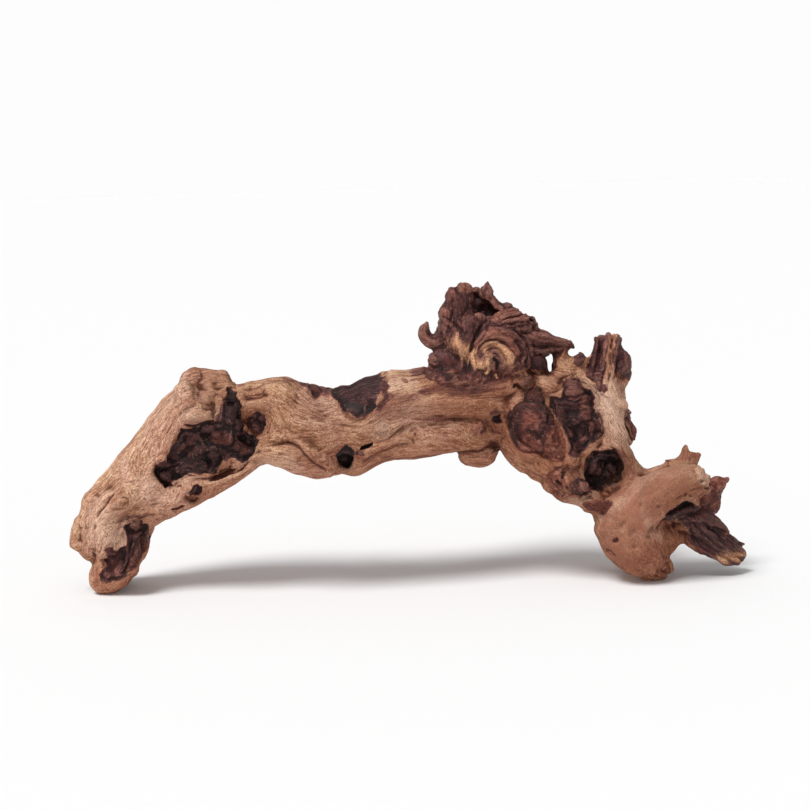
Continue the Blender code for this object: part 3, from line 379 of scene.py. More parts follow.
# Rounded lumps, and pits where less than 0: how high (mm), how wide (mm), their marks, and the line
# (x, z) that each follows.
LUMPS = {
    "arm wall": (1.2, 2.6, dict(dark=0.45, red=0.2), [(-107.9, 114), (-109, 108), (-109.7, 103.6)]),
    "arm floor": (2.6, 3, dict(dark=0.82), [(-101.6, 109), (-102.8, 101.5)]),
    "red oval": (2.4, 4.8, dict(dark=0.6, red=0.7), [(-112, 92.2), (-106, 90.4)]),
    "right lobe": (2, 4.2, dict(dark=0.68, red=0.5), [(-98.8, 84.2), (-95.5, 84.1)]),
    "ring top": (1.6, 2.2, dict(dark=0.7), [(-131.3, 93.8), (-126.6, 94), (-121.5, 89.5), (-120, 85)]),
    "inner lobe": (1.4, 3, dict(dark=0.7, red=0.3), [(-126.7, 90.5), (-127.6, 88.5)]),
    "ring left": (1.6, 2, dict(dark=0.74), [(-132.3, 92.9), (-136.8, 87.3), (-140.3, 81.7)]),
    "long lump": (1.8, 2.6, dict(dark=0.72, red=0.35), [(-132, 86.6), (-137.5, 81)]),
    "centre lobe": (2, 3.6, dict(dark=0.74, red=0.3), [(-127.6, 82.4), (-122.6, 84)]),
    "mid ridge": (2.4, 3.2, dict(dark=0.82), [(-115.3, 84.8), (-114.7, 77)]),
    "small right": (1, 3, dict(dark=0.7, red=0.3), [(-108.4, 80.7), (-107.6, 76.9)]),
    "bean": (2.4, 2.4, dict(dark=0.74), [(-136, 72.6), (-129, 72.6), (-121, 74.2)]),
    "left bulb": (4.4, 4, dict(dark=0.7), [(-146.4, 77), (-144, 79)]),
    "low bulb": (3.4, 3, dict(dark=0.72), [(-145, 70), (-141, 66.6)]),
    "low right": (1.6, 2.2, dict(dark=0.7), [(-117.2, 72.8), (-113.5, 72)]),
    "arm knee": (3, 3.2, dict(dark=0.74), [(-113, 98), (-118, 96)]),
    "floor lump": (3.6, 3.2, dict(dark=0.78), [(-99, 99), (-96.6, 95)]),
    "foot hole top": (1.6, 2.8, dict(dark=0.2, tan=0.25), [(-165, 40), (-162.2, 39.6)]),
    "foot hole low": (1.4, 2.4, dict(dark=0.5), [(-161.1, 34.4), (-162.6, 32.6)]),
    "foot ridge": (1.4, 1.1, dict(dark=0.5, red=0.3), [
        (-168.3, 30.8), (-169.7, 23.1), (-170.5, 16.4), (-173.1, 11.1),
    ]),
    "foot plate": (1, 6, dict(dark=0.18, red=0.15, gnarl=0), [(-178.5, 20.5), (-179.3, 11.8)]),
    "foot wall": (1.4, 3.2, dict(dark=0.55, red=0.5, gnarl=0.2), [
        (-159.4, 29), (-162.2, 20.9), (-168.3, 12.4),
    ]),
    "foot tooth": (0.5, 2, dict(heart=1, dark=0.35, red=0.3), [(-180.9, 25), (-179.2, 21.5)]),
    "knot left": (1.6, 2.6, dict(dark=0.5, red=0.3), [(-89.1, 103), (-88, 97.2)]),
    "knot right": (1.4, 2.2, dict(dark=0.6, red=0.1), [(-84.9, 102.8), (-84.1, 99)]),
    "under lump": (1.4, 1.8, dict(dark=1, red=0.3), [(-129.2, 58.4), (-126.2, 61.2)]),
    "dome cap": (2, 4.6, dict(dark=0.7, gnarl=0.1), [(78.4, 111), (81.2, 110)]),
    "dome left": (0.8, 6, dict(dark=0.76, gnarl=0.15), [(69.8, 103), (67, 95.3)]),
    "dome centre": (-0.5, 6, dict(dark=0.4, red=0.75, gnarl=0.3), [(76.9, 97), (76.1, 89)]),
    "dome right": (1.6, 2.4, dict(dark=0.62, red=0.3), [(85, 101), (84.2, 96.2)]),
    "dome pits": (-0.6, 1.8, dict(dark=0.9), [(76.4, 90), (79, 88.4), (81.8, 86)]),
    "dome ring": (0.9, 2, dict(dark=0.4, red=0.5), [(67.6, 83), (70.5, 80.8)]),
    "apron lump": (0.8, 5.6, dict(heart=0.9, dark=0.3, red=0.9), [(91.3, 85.7), (89.9, 78)]),
    "knuckle cap": (2.6, 6.4, dict(dark=0.4, red=0.3, gnarl=0.1), [(102.8, 117), (103.4, 112.8)]),
    "knuckle plate": (1.6, 5.4, dict(dark=0.5, red=0.4, gnarl=0.2), [(109.1, 105.7), (110.5, 100.5)]),
    "knuckle left": (1.2, 4.8, dict(dark=0.75, gnarl=0.1), [(93.6, 104.6), (96.5, 97.3)]),
    "knuckle band": (1.4, 1.8, dict(dark=0.65), [(96, 106.4), (104, 105.6)]),
    "knuckle knob": (1.8, 2.8, dict(dark=0.65, gnarl=0), [(101.5, 89), (101.7, 87.5)]),
    "knuckle right": (1.4, 3.4, dict(dark=0.55, red=0.3, gnarl=0.1), [(113.6, 91.6), (113.4, 87.4)]),
    "knuckle tongue": (1.4, 4, dict(dark=0.6, red=0.4, gnarl=0.1), [(107, 81.5), (103.2, 74.5)]),
    "knuckle edge": (1.8, 1.8, dict(dark=0.8), [(116.3, 99), (118, 90.7), (116.4, 84)]),
    "knuckle mid": (1.2, 3, dict(dark=0.78, gnarl=0), [(102, 98), (106, 95)]),
    "hole ball": (4, 4.4, dict(dark=0.68, red=0.15, gnarl=0), [(115, 68), (115.6, 65)]),
    "hole arc": (2, 1.6, dict(dark=0.85), [(112.5, 71), (115.1, 73.4), (121, 74), (126.4, 71.5)]),
    "hole arc low": (2.6, 1.6, dict(dark=0.85), [(116.5, 70.8), (120.9, 71.4), (124.8, 69)]),
    "hole right": (3.6, 5, dict(dark=0.85, gnarl=0), [(124.3, 65.4), (125.2, 63.2)]),
    "snag left": (2, 3, dict(heart=1, dark=0.72), [(102.3, 53.6), (104.4, 53.4)]),
    "snag right": (1.2, 2.2, dict(heart=1, dark=0.4, red=0.3), [(107.6, 55.3), (112, 55.6)]),
    "wall lobe": (1.8, 6, dict(dark=0.56, gnarl=0), [(35.4, 171), (36.6, 164), (38.4, 157.6)]),
    "top left lobe": (1.6, 3, dict(dark=0.5, red=0.2), [(31, 174.5), (29.9, 169.4)]),
    "top lobe": (1, 3.6, dict(dark=0.3, red=0.5), [(37.5, 177.5), (41, 176.6)]),
    "side lobe": (1.6, 3.6, dict(dark=0.4, red=0.3), [(26.6, 161.7), (28.2, 155.8)]),
    "side low lobe": (1.6, 3, dict(dark=0.4, red=0.2), [(25.2, 153.4), (26.4, 150)]),
    "wall bump": (0.8, 3.4, dict(dark=0.5, gnarl=0.1), [(38.9, 156), (41.2, 154.6)]),
    "snag lump": (1.4, 2.2, dict(dark=0.15, gnarl=0), [(46.6, 159.4), (48.4, 157.6)]),
    "cavity rim": (0.8, 2.4, dict(dark=0.3, red=0.4), [(54.2, 173.8), (56.9, 167.9), (60.5, 163.3)]),
    "leaf top": (1, 2.2, dict(dark=0.1, red=0.35), [
        (57, 157.5), (62.9, 161.4), (70.7, 162), (74.6, 160.4),
    ]),
    "leaf mid": (1, 2, dict(dark=0.06, red=0.35), [(58.9, 156.1), (67.4, 157.8), (74.5, 157.6)]),
    "leaf low": (1, 1.6, dict(dark=0.06, red=0.2), [(58, 154.2), (67.9, 153.3), (74.4, 154.6)]),
    "leaf eye": (-3, 1.5, dict(dark=1), [(78.6, 156.8), (79, 156.2)]),
    "beak body": (0.9, 5, dict(dark=0.15, gnarl=0.1), [(76.2, 147.2), (84.6, 144.6), (96.2, 142.4)]),
    "beak ridge": (0.9, 2.4, dict(dark=0.12), [(82.1, 149.6), (89.8, 145.8), (98.8, 144.5)]),
    "post lump": (1.4, 4.4, dict(dark=0.75, gnarl=0), [(81.6, 132), (82.6, 127.6)]),
    "grey fold": (1.4, 3, dict(dark=0.45), [(51.1, 153.4), (60.8, 151.6), (68.2, 146.4)]),
    "red fold": (1, 2.4, dict(dark=0.15, red=0.7, gnarl=0), [
        (45.7, 144.5), (51, 148.4), (59.4, 147.6), (66.4, 143), (69, 137),
    ]),
    "dark fold": (1.2, 1.6, dict(dark=0.45, gnarl=0), [
        (66.5, 149.6), (72.4, 143.4), (73.6, 137), (72.6, 131),
    ]),
    "outer fold": (1.2, 1.6, dict(dark=0.4, gnarl=0), [(70, 151), (76.2, 144), (77.4, 136.5)]),
    "wedge": (-1.4, 1.5, dict(dark=0.75, tan=0, red=0.1), [(57.1, 133.8), (56.8, 131), (56.1, 128)]),
    "horn base": (0.6, 3.4, dict(dark=0.3, red=0.2), [
        (15.5, 153), (13.6, 149.1), (16.5, 144.8), (21, 142),
    ]),
    "side lump": (0.8, 3.2, dict(dark=0.4, red=0.1), [(18.6, 135.9), (21.8, 133.2)]),
    "fleck": (0.5, 0.9, dict(heart=1, dark=0, tan=1), [(50.4, 126.1), (51.4, 126.6)]),
    "rim edge": (0.5, 1.1, dict(heart=0, dark=0, gnarl=0.4), [
        (105.4, 123.4), (110, 120), (115, 115.4), (119.6, 110.2),
    ]),
    "long fleck": (0.5, 0.7, dict(heart=1, dark=0, tan=1), [(55.7, 124.5), (57, 123.1)]),
    "stub strip": (0.6, 2.2, dict(heart=0, dark=0, gnarl=0), [(129, 148), (126.9, 142), (125.4, 136)]),
    "ring knot": (0.2, 6, dict(grey=0.35, pale=0.5), [(-13.8, 92.4), (-12.8, 93)]),
    "dot high": (-0.3, 1, dict(heart=0.5, dark=0, red=0.5), [(6.2, 90), (6.3, 89)]),
    "dot low": (-0.3, 0.9, dict(heart=0.5, dark=0, red=0.5), [(5, 86.4), (6.2, 85.6)]),
    "ridge dot": (-0.4, 1.3, dict(heart=0.5, dark=0.1, red=0.5), [(1.2, 122.6), (3.4, 121.8)]),
    "small mark": (-0.4, 0.9, dict(heart=0.5, dark=0.1, red=0.6), [(-138.4, 62.6), (-135.6, 63)]),
    "second mark": (-0.4, 0.9, dict(heart=0.3, dark=0.1, red=0.5), [(-149.8, 62), (-147, 60.9)]),
    "nose pit": (-0.3, 1.4, dict(heart=0.2, red=0.8), [(-198.6, 31.8), (-196.4, 31.2)]),
    "dent": (-0.1, 1.2, dict(heart=0.2, red=0.4), [(-171, 52.1), (-168.2, 51.6)]),
    "hook hole": (-1, 1.4, dict(heart=0.7, dark=0.1, red=0.5), [(125.9, 21.4), (127.6, 22)]),
    "hook notch": (-0.8, 1.8, dict(heart=0.6, dark=0.1, red=0.8), [(121.6, 15.4), (124.8, 11.4)]),
    "hook pit": (-0.3, 0.9, dict(heart=0.5, red=0.3), [(152.7, 41.4), (153.4, 40.8)]),
    "hook dent": (-0.3, 1.2, dict(heart=0.3, red=0.3), [(142.2, 43.4), (142.8, 42)]),
    "torn edge": (0.6, 2.4, dict(heart=0, tan=0, gnarl=1.4, pale=0.8, red=0.25, grey=0), [
        (177.4, 63), (178.6, 58.3), (180.8, 54.8),
    ]),
    "torn lip": (0.4, 1.3, dict(heart=0, gnarl=0.9, pale=0.3, grey=0), [(171.5, 44.8), (176.6, 42)]),
    "bulb groove": (-1.6, 0.8, dict(dark=0.95), [(-146.4, 73.4), (-141, 74.4), (-136, 76)]),
    "dome pit left": (-0.4, 0.9, dict(dark=0.75), [(75.4, 90.4), (77.4, 88)]),
    "dome pit high": (-0.5, 0.9, dict(dark=0.7), [(82, 97), (80.4, 94.4)]),
    "dome pit low": (-0.3, 0.9, dict(dark=0.6), [(76, 86.4), (78.4, 86)]),
    "dome warm": (0.4, 3, dict(dark=0.35, red=0.75, gnarl=0.2), [(74.4, 97), (79, 93)]),
    "dome low warm": (0.3, 4.4, dict(dark=0.3, red=0.8, gnarl=0.3), [(74, 84), (80, 81)]),
    "stub strip low": (0.4, 1.7, dict(heart=0.2, dark=0, red=0.3, gnarl=0), [
        (128, 146), (126.1, 140.8), (124.6, 133), (123.3, 125.7), (121.4, 119),
    ]),
    "knot pits": (-0.5, 1.1, dict(heart=0.9, dark=0.6), [(46.6, 90), (48.6, 92.6), (48, 95.6)]),
    "knot middle": (-0.3, 1, dict(heart=0.8, dark=0.3, red=0.8), [(44.4, 95.4), (45.6, 92.8)]),
    "dome edge": (0.9, 1.5, dict(heart=1, dark=0.85), [(65, 101), (63.6, 94), (64.4, 87), (66.6, 81.8)]),
    "dome cap edge": (0.8, 1.2, dict(heart=1, dark=0.95), [
        (73.6, 110.4), (75.4, 113.6), (79, 114.8), (83, 113),
    ]),
    "dome cleft": (-0.7, 1.2, dict(dark=0.9, red=0.3), [(83, 101.6), (86, 98.6), (86.4, 94)]),
    "dome cleft low": (-0.5, 1.2, dict(dark=0.85, red=0.3), [(84.6, 91), (83, 87.6), (79.8, 86)]),
    "dome tail": (0.6, 2.6, dict(dark=0.3, red=0.8, gnarl=0.2), [(72.4, 80), (76, 78.6), (80, 79.6)]),
    "hole foot": (0.8, 2.4, dict(heart=0.25, dark=0, red=0.7), [(116, 49.4), (120, 49.6)]),
    "hole foot left": (0.8, 1.8, dict(heart=0.3, dark=0, red=0.7), [(107, 48.4), (109.6, 48.8)]),
    # The lips of the hook mouth: partly the prong's dark wood and partly painted shadow.
    "mouth lip": (0.4, 1.5, dict(heart=1, dark=0.8), [(158, 34), (163, 36.4), (170, 38), (176, 38.6)]),
    "mouth lip low": (0.4, 1.5, dict(heart=1, dark=0.85), [(157.6, 33.6), (161, 32.4), (165, 31.4)]),
    "burr lump high": (0.9, 1.4, dict(dark=0.1, red=1), [(91, 63), (94, 65)]),
    "burr lump mid": (0.9, 1.3, dict(dark=0.1, red=1), [(97, 61), (98.4, 57.6)]),
    "burr pit high": (-1, 1.1, dict(dark=0.95), [(94.6, 61.6), (96, 62.6)]),
    "burr pit mid": (-1, 1.1, dict(dark=0.95), [(91.4, 58.4), (93, 57.4)]),
    "burr pit low": (-1, 1, dict(dark=0.95), [(96, 54.8), (97, 53.6)]),
    "slit soot": (-0.3, 1.6, dict(dark=0.5, heart=0.8), [(-28, 78.6), (-25, 78)]),
}

# Soft stains that follow the fibres: their marks, how far they reach (mm) and their line (x, z).
# The pale and shaded ones are broad changes of tone, partly the wood's own and partly painted light
# and painted shade, and may be above 1.
STAINS = {
    "limb shade": (dict(shade=0.74), 30, [(-92, 96), (-40, 92), (10, 96), (60, 96), (96, 66), (114, 50)]),
    "hook shade": (dict(shade=1.25), 24, [(126, 18), (140, 44), (170, 56)]),
    "hook low shade": (dict(shade=1.3), 14, [(134, 8), (150, 14), (162, 26)]),
    "rim dark": (dict(shade=0.9), 7, [(-126, 133), (-112, 126), (-108, 112), (-122, 103)]),
    "top fade": (dict(heart=0.66, dark=0.35), 4.5, [(-12, 122), (-9, 116), (-10, 110), (-14, 105)]),
    "top fade low": (dict(heart=0.5, dark=0.2, red=0.3), 5, [(-18, 102), (-8, 106), (0, 110), (8, 112)]),
    "left of burl": (dict(heart=0.55, dark=0.3), 4, [(6, 126.4), (16, 127.4), (22, 124)]),
    "below burl": (dict(heart=0.4, dark=0.1, red=0.6), 6, [(17, 119), (33, 113), (48, 110)]),
    "burl foot": (dict(heart=0.66, dark=0.35), 5, [
        (14, 115), (22, 118), (40, 117.5), (60, 121), (70, 123),
    ]),
    "rust": (dict(red=0.75, heart=0.1), 6.5, [(28, 109), (44, 108), (58, 113), (66, 117)]),
    "rust low": (dict(red=0.7, heart=0.25), 6, [(36, 104), (50, 103), (60, 107)]),
    "streak": (dict(heart=0.6), 2, [(5.3, 99.1), (16.6, 98.8), (26.3, 100.9), (36.7, 99.4)]),
    "streak tail": (dict(heart=0.5, dark=0.2), 2, [(-2, 101), (5.3, 99.1)]),
    "streak shade": (dict(red=0.25), 6, [(-4, 104), (14, 104), (34, 102)]),
    "lower purple": (dict(heart=0.5, dark=0.15), 3.2, [(-20, 74), (-8.2, 77.3), (7.8, 75.2), (22, 77.5)]),
    "lower shade": (dict(red=0.45), 6.5, [(-24, 78), (-4, 82), (20, 82), (34, 80)]),
    "ridge purple": (dict(heart=0.55, dark=0.2), 3.4, [(-82, 126), (-70, 125), (-60, 122.6)]),
    "notch purple": (dict(heart=0.75, dark=0.3), 2.6, [(-60, 122), (-48.7, 117.6), (-43, 118)]),
    "eddy dark": (dict(heart=0.6, dark=0.2, red=0.3), 2, [(-58, 79), (-53.4, 73), (-47, 69.3)]),
    "eddy brown": (dict(red=0.65, heart=0.2), 5.5, [(-66, 82), (-58, 75), (-51, 71)]),
    "tab brown": (dict(red=0.7, heart=0.6, dark=0.3), 3, [(-94, 115.4), (-90, 116.4), (-84, 118)]),
    "rim shade": (dict(red=0.55, heart=0.3), 2.6, [(-121, 130), (-123, 120), (-128, 113)]),
    "patch shade": (dict(red=0.5), 5.5, [(-118, 128), (-114, 119), (-106, 120)]),
    "lip shade": (dict(red=0.55), 3, [(-129, 101), (-121, 102), (-113, 105)]),
    "rim right": (dict(heart=0.55, red=0.5), 2, [(-107, 130), (-101, 126), (-96, 122)]),
    "pocket purple": (dict(heart=0.6, dark=0.3), 1.8, [(-146, 80), (-149, 74), (-145, 66), (-140, 62)]),
    "pocket brown": (dict(red=0.5), 5, [(-146, 62), (-136, 60), (-124, 66), (-110, 67)]),
    "hole brown": (dict(red=0.7), 3.6, [(-132, 56), (-126, 52), (-118, 58)]),
    "seam brown": (dict(red=0.4), 4, [(-155, 47), (-140, 49), (-128, 50)]),
    "arch shade": (dict(red=0.5), 3.6, [(-176, 64.4), (-172, 60.8), (-173, 56)]),
    "nose pale": (dict(pale=0.9, red=0.12), 10, [(-184, 40), (-180, 32), (-172, 32)]),
    "nose slit shade": (dict(red=0.5, heart=0.2), 2.6, [(-188, 44), (-182, 51), (-177, 57)]),
    "nose rust": (dict(red=0.5), 4.5, [(-202, 32), (-196, 26), (-190, 20)]),
    "toe rust": (dict(red=1, heart=0.45), 3.6, [
        (-190, 12), (-188, 3), (-178, -1), (-168, 5), (-160, 15), (-156.4, 26),
    ]),
    "foot mouth": (dict(heart=0.6, dark=0.3), 2.6, [(-168, 43), (-160, 44), (-152, 46)]),
    "knob rust": (dict(red=0.65), 8, [(38, 73), (50, 73)]),
    "knot rust": (dict(red=0.7, heart=0.25), 6, [(48, 95), (57, 92), (56, 84)]),
    "left of dome": (dict(red=1, heart=0.5), 3.6, [(63, 108), (62.6, 103), (61, 96), (61.4, 88), (64, 81)]),
    "over dome": (dict(red=0.65), 4.5, [(66, 112), (72, 116), (82, 117)]),
    "red wisp": (dict(red=0.8, heart=0.35), 3, [(84, 116), (91.8, 113.4)]),
    "saddle dot": (dict(red=0.5, heart=0.45), 2, [(99, 128.7), (103.7, 128.6)]),
    "post rust": (dict(red=0.6, heart=0.2), 4.5, [(94, 128), (96, 136)]),
    "below dome": (dict(red=0.9, heart=0.3), 5, [(66, 76), (74, 73), (84, 70), (96, 68)]),
    "leg rust": (dict(red=0.75, heart=0.2), 6, [(78, 66), (88, 61), (98, 51)]),
    "leg purple": (dict(heart=0.55, dark=0.2), 2.6, [(74, 66), (84, 60), (92, 52), (98, 48.6)]),
    "burr orange": (dict(red=1, heart=0.8, tan=0.3), 3.6, [(99.4, 63), (98.6, 57), (96, 50)]),
    "hole glow": (dict(tan=0.3, red=0.4, heart=0.2), 4, [
        (131.4, 75.4), (132.8, 66.6), (130.6, 58.4), (124, 52),
    ]),
    "low red": (dict(red=1, heart=1, dark=0.55), 4.4, [(111, 42), (117, 43), (121, 42)]),
    "low leg shade": (dict(red=0.35), 6, [(106, 48), (118, 50), (130, 56)]),
    "pocket right": (dict(red=0.6, heart=0.3), 2.4, [(119, 84), (121, 88), (119, 78)]),
    "hook grey": (dict(grey=0.9), 17, [(128, 24), (136, 38), (148, 48), (166, 56)]),
    "hook purple": (dict(heart=0.4, red=0.5), 4, [(157, 53), (156.4, 49), (152, 42), (148, 36)]),
    "hook mottle": (dict(red=0.75, heart=0.2), 5, [(145.6, 28.4), (152, 22), (160, 22)]),
    "hook dark mottle": (dict(red=0.8, heart=0.3), 7, [(138, 14), (147, 15)]),
    "hook toe": (dict(red=0.8, heart=0.35), 4, [(136, 6), (146, 3), (155, 6)]),
    "hook low": (dict(red=0.85), 12, [(130, 12), (144, 8), (154, 16)]),
    "hook tan": (dict(tan=0.6, heart=0.3), 4, [(163.2, 29), (166.6, 25.4)]),
    "hook lip": (dict(red=0.4), 3, [(158, 47), (166, 48), (174, 50)]),
    "fin rim": (dict(red=0.8), 3, [(178, 42), (186, 38)]),
    "prong red": (dict(red=0.8), 1.8, [(171.2, 22.1), (173.9, 15.1), (179.3, 12.2)]),
    "prong split red": (dict(red=0.9), 1.6, [(184, 33), (189, 29.6), (194, 24)]),
    "fork brown": (dict(red=0.5), 5, [(120, 40), (126, 47), (136, 56)]),
    "tab brown right": (dict(red=0.7, heart=0.35), 3.4, [(-90, 115), (-82, 116.6)]),
    "hole pit": (dict(red=0.7, heart=0.3), 2, [(-36, 70), (-36, 67)]),
    "hole soot": (dict(heart=1, dark=0.55), 3, [
        (127, 75.6), (131, 72), (131.8, 65), (129.4, 58.5), (124.5, 53.6),
    ]),
    "leg light": (dict(pale=0.9), 9, [(121, 110), (127, 97), (133, 84)]),
    "shin light": (dict(pale=0.5), 10, [(-158, 60), (-144, 56), (-132, 68)]),
    "lip light": (dict(pale=0.7), 4, [(-128, 104), (-120, 103.4), (-113, 106)]),
    "nose light": (dict(pale=0.15), 4, [(-199, 36), (-196, 28)]),
    # Painted light: the underside of the limb lighter, as if lit from the floor.
    "under light": (dict(pale=0.5), 8, [(-84, 73), (-70, 75)]),
    "swirl tan": (dict(tan=0.8, red=0.2), 2.2, [
        (49, 141), (54, 143), (59, 142.3), (63.3, 138.5), (65.6, 134), (65.4, 129.6),
    ]),
    "swirl inner tan": (dict(tan=0.6, red=0.5), 2.4, [(51.5, 138), (53.5, 133.4), (52, 129.8)]),
    "swirl right tan": (dict(tan=0.5, red=0.4), 2, [(60.6, 136.4), (62, 131.6), (61.4, 128.8)]),
    "swirl brown": (dict(red=0.7), 3, [(43.5, 135), (45, 141), (47, 144)]),
    "swirl red band": (dict(red=0.9), 2.4, [
        (45, 146), (49.9, 148.4), (56.6, 148.4), (62.5, 145.2), (66.6, 141), (68, 135),
    ]),
    "yellow patch": (dict(tan=0.95), 3.4, [(31.6, 145), (34.4, 142.6), (38.5, 139.4), (42, 134.6)]),
    "yellow low": (dict(tan=0.9, red=0.2), 3.2, [(42, 134), (46, 131.5), (50, 130)]),
    "prong tip": (dict(tan=0.7, red=0.5), 3.4, [(190, 8.6), (197, 8.4), (203, 11)]),
    "top wool": (dict(heart=0.22, red=0.35), 6.5, [(-8, 108), (2, 108), (14, 112), (22, 114)]),
    "top pale": (dict(pale=0.8), 4, [(-7, 121), (0, 121), (6, 122)]),
    "limb crack brown": (dict(red=0.45), 4.5, [(-38, 96), (-32, 90), (-26, 88)]),
    "silhouette purple": (dict(heart=0.6, dark=0.3), 2, [(-60, 123.4), (-52, 121), (-45, 120.6)]),
    "hook dusk": (dict(red=0.5), 9, [(140, 32), (150, 40), (160, 46)]),
    "hook low dusk": (dict(red=0.75, heart=0.2), 5, [(131, 15), (137, 26), (142, 30)]),
    "hook right dusk": (dict(red=0.1), 4, [(156, 30), (160, 20), (158, 10)]),
    "nose mark": (dict(red=0.9, heart=0.2), 2.4, [(-197, 34), (-195, 30)]),
    "pocket left warm": (dict(tan=0.4), 3, [(-152, 82), (-154, 76), (-153, 68), (-150, 62)]),
    "shoulder tan": (dict(tan=0.35), 4, [(-134, 110), (-140, 102), (-142, 92)]),
    "base fleck": (dict(tan=0.25, red=0.6), 1.5, [(30, 128), (33, 124), (31, 120)]),
    "base fleck low": (dict(tan=0.2, red=0.7), 1.6, [(38, 121), (43, 119.4), (47, 122)]),
    "base fleck left": (dict(tan=0.15, red=0.7), 1.6, [(17, 127), (20, 122), (19, 117)]),
    "divide brown": (dict(red=0.8, heart=0.5), 2.2, [(86, 113), (90, 104), (95.6, 92), (98, 84), (98, 76)]),
    "dome foot": (dict(red=0.9, heart=0.6), 5, [(68, 80), (76, 77), (86, 74)]),
    "hole halo": (dict(red=0.8, heart=0.2), 4, [(130, 76), (133.6, 70), (133.6, 62), (130, 56), (122, 51)]),
    "burr pit": (dict(heart=1, red=0.9, dark=0.6), 2.2, [(90.6, 52), (95, 53), (97, 50.6)]),
    "burr rim": (dict(heart=0.9, red=0.9, dark=0.3), 2, [
        (87.4, 58), (89.3, 64.1), (95, 66.4), (100, 66), (104, 62),
    ]),
    "hook edge": (dict(red=0.35), 3, [(137, 54), (135.4, 46), (137, 36), (139.6, 29)]),
    "hook low brown": (dict(heart=0.45, red=0.7), 10, [(134, 8), (144, 10), (152, 16)]),
    "saddle brown": (dict(red=0.55), 5.5, [(80, 117), (92, 120), (98, 126)]),
    "lobe brown": (dict(red=0.35), 6, [(-191, 58), (-194, 50), (-197, 42)]),
    "limb left shade": (dict(shade=0.92), 14, [(-84, 106), (-66, 108), (-50, 104)]),
    "prong pale": (dict(red=0.9), 1.2, [(163, 36), (169, 37.6), (176, 37), (182, 34.6)]),
    "knot ring": (dict(red=0.8, heart=0.35), 2.4, [(41, 96), (40.6, 91), (44, 88), (49, 88.6), (51.4, 93)]),
    "over knot rust": (dict(red=0.6, heart=0.15), 4, [(47, 110), (56, 105), (63, 109)]),
    "square purple": (dict(heart=0.7, dark=0.4), 2, [(51.4, 96), (53, 100.6), (57, 102.4)]),
    "dome orange": (dict(red=0.9, heart=0.25), 2.6, [(59.6, 93.6), (61.6, 88), (62.4, 84.6)]),
    "base dark": (dict(dark=0.9, heart=1), 3.6, [(22, 129), (28, 125), (34, 126), (40, 129)]),
    # The hook's rim lighter and the leg beside it browner: partly the wood's own colours, partly painted
    # light and painted shade.
    "hook rim light": (dict(pale=0.5), 2.4, [
        (117.4, 35), (123, 40.6), (130, 43.4), (138, 50), (145, 57.6), (152, 63),
    ]),
    "hook rim brown": (dict(red=0.75), 1.6, [
        (114.6, 38.6), (120.4, 44.6), (127.6, 48), (134, 54.4), (140, 60),
    ]),
    "hook crown light": (dict(pale=0.15), 4, [(154, 62), (164, 63), (173, 61)]),
    "hook pink": (dict(pale=0.5), 3, [(146.4, 33), (147.6, 27), (151, 23)]),
    "leg low light": (dict(pale=0.5), 4, [(98, 44), (106, 46), (112, 48)]),
    "limb light": (dict(pale=0.3), 8, [(-14, 94), (0, 100), (8, 110)]),
    "under ring light": (dict(pale=0.1), 7, [(-48, 96), (-38, 98), (-26, 92)]),
    "under hole rim": (dict(red=1, tan=0.3, heart=0.2), 1.3, [
        (-133, 58), (-130, 53.6), (-124, 52.8), (-119.6, 56), (-119, 61),
    ]),
    "patch foot": (dict(dark=0.95), 3.4, [(-38, 113), (-31, 109), (-23, 106.4), (-14, 108)]),
    "chimney dark": (dict(dark=0.75), 3.4, [(33, 162), (36, 158), (38, 152)]),
    "beak tint": (dict(red=0.1), 6, [(74, 149), (82, 148), (90, 145)]),
    "leaf dark": (dict(dark=0.7, heart=1), 1.8, [(57, 161), (59, 156)]),
    "dome dark": (dict(dark=0.95), 4.6, [(68, 98), (70, 106), (80, 110), (91, 104), (91, 97)]),
    "foot pocket dark": (dict(dark=0.9), 4.4, [(-170, 14), (-166, 20), (-165, 27)]),
    "foot hole soot": (dict(dark=0.95, heart=1), 3.4, [(-167, 38), (-162.6, 36.4), (-159, 32.6)]),
    # Painted shadow: the left end of the hook mouth.
    "hook mouth left": (dict(heart=1, dark=0.8, red=0.3), 2.4, [
        (157.4, 34.2), (161, 34), (164, 35.4), (171, 37.4), (177, 38),
    ]),
    "leaf tint": (dict(red=0.1), 3, [(63, 158), (70, 159), (76, 157)]),
    "pocket arm dark": (dict(dark=0.9), 4, [(-100, 108), (-97, 102), (-96, 96)]),
    "dome lower dark": (dict(dark=0.85), 3.6, [(80, 93), (84, 88), (90, 86)]),
    "prong shade": (dict(dark=0.2), 3, [(176, 28), (184, 24)]),
    "patch edge": (dict(dark=0.35), 3.4, [(-34, 119), (-22, 121), (-13, 121)]),
    "limb mid shade": (dict(shade=1), 9, [(-58, 92), (-48, 88), (-40, 92)]),
    "hook mid brown": (dict(red=0.6), 9, [(134, 36), (140, 48), (150, 54), (160, 58)]),
    "leg below light": (dict(pale=0.8), 4, [(101, 45), (108, 45)]),
}

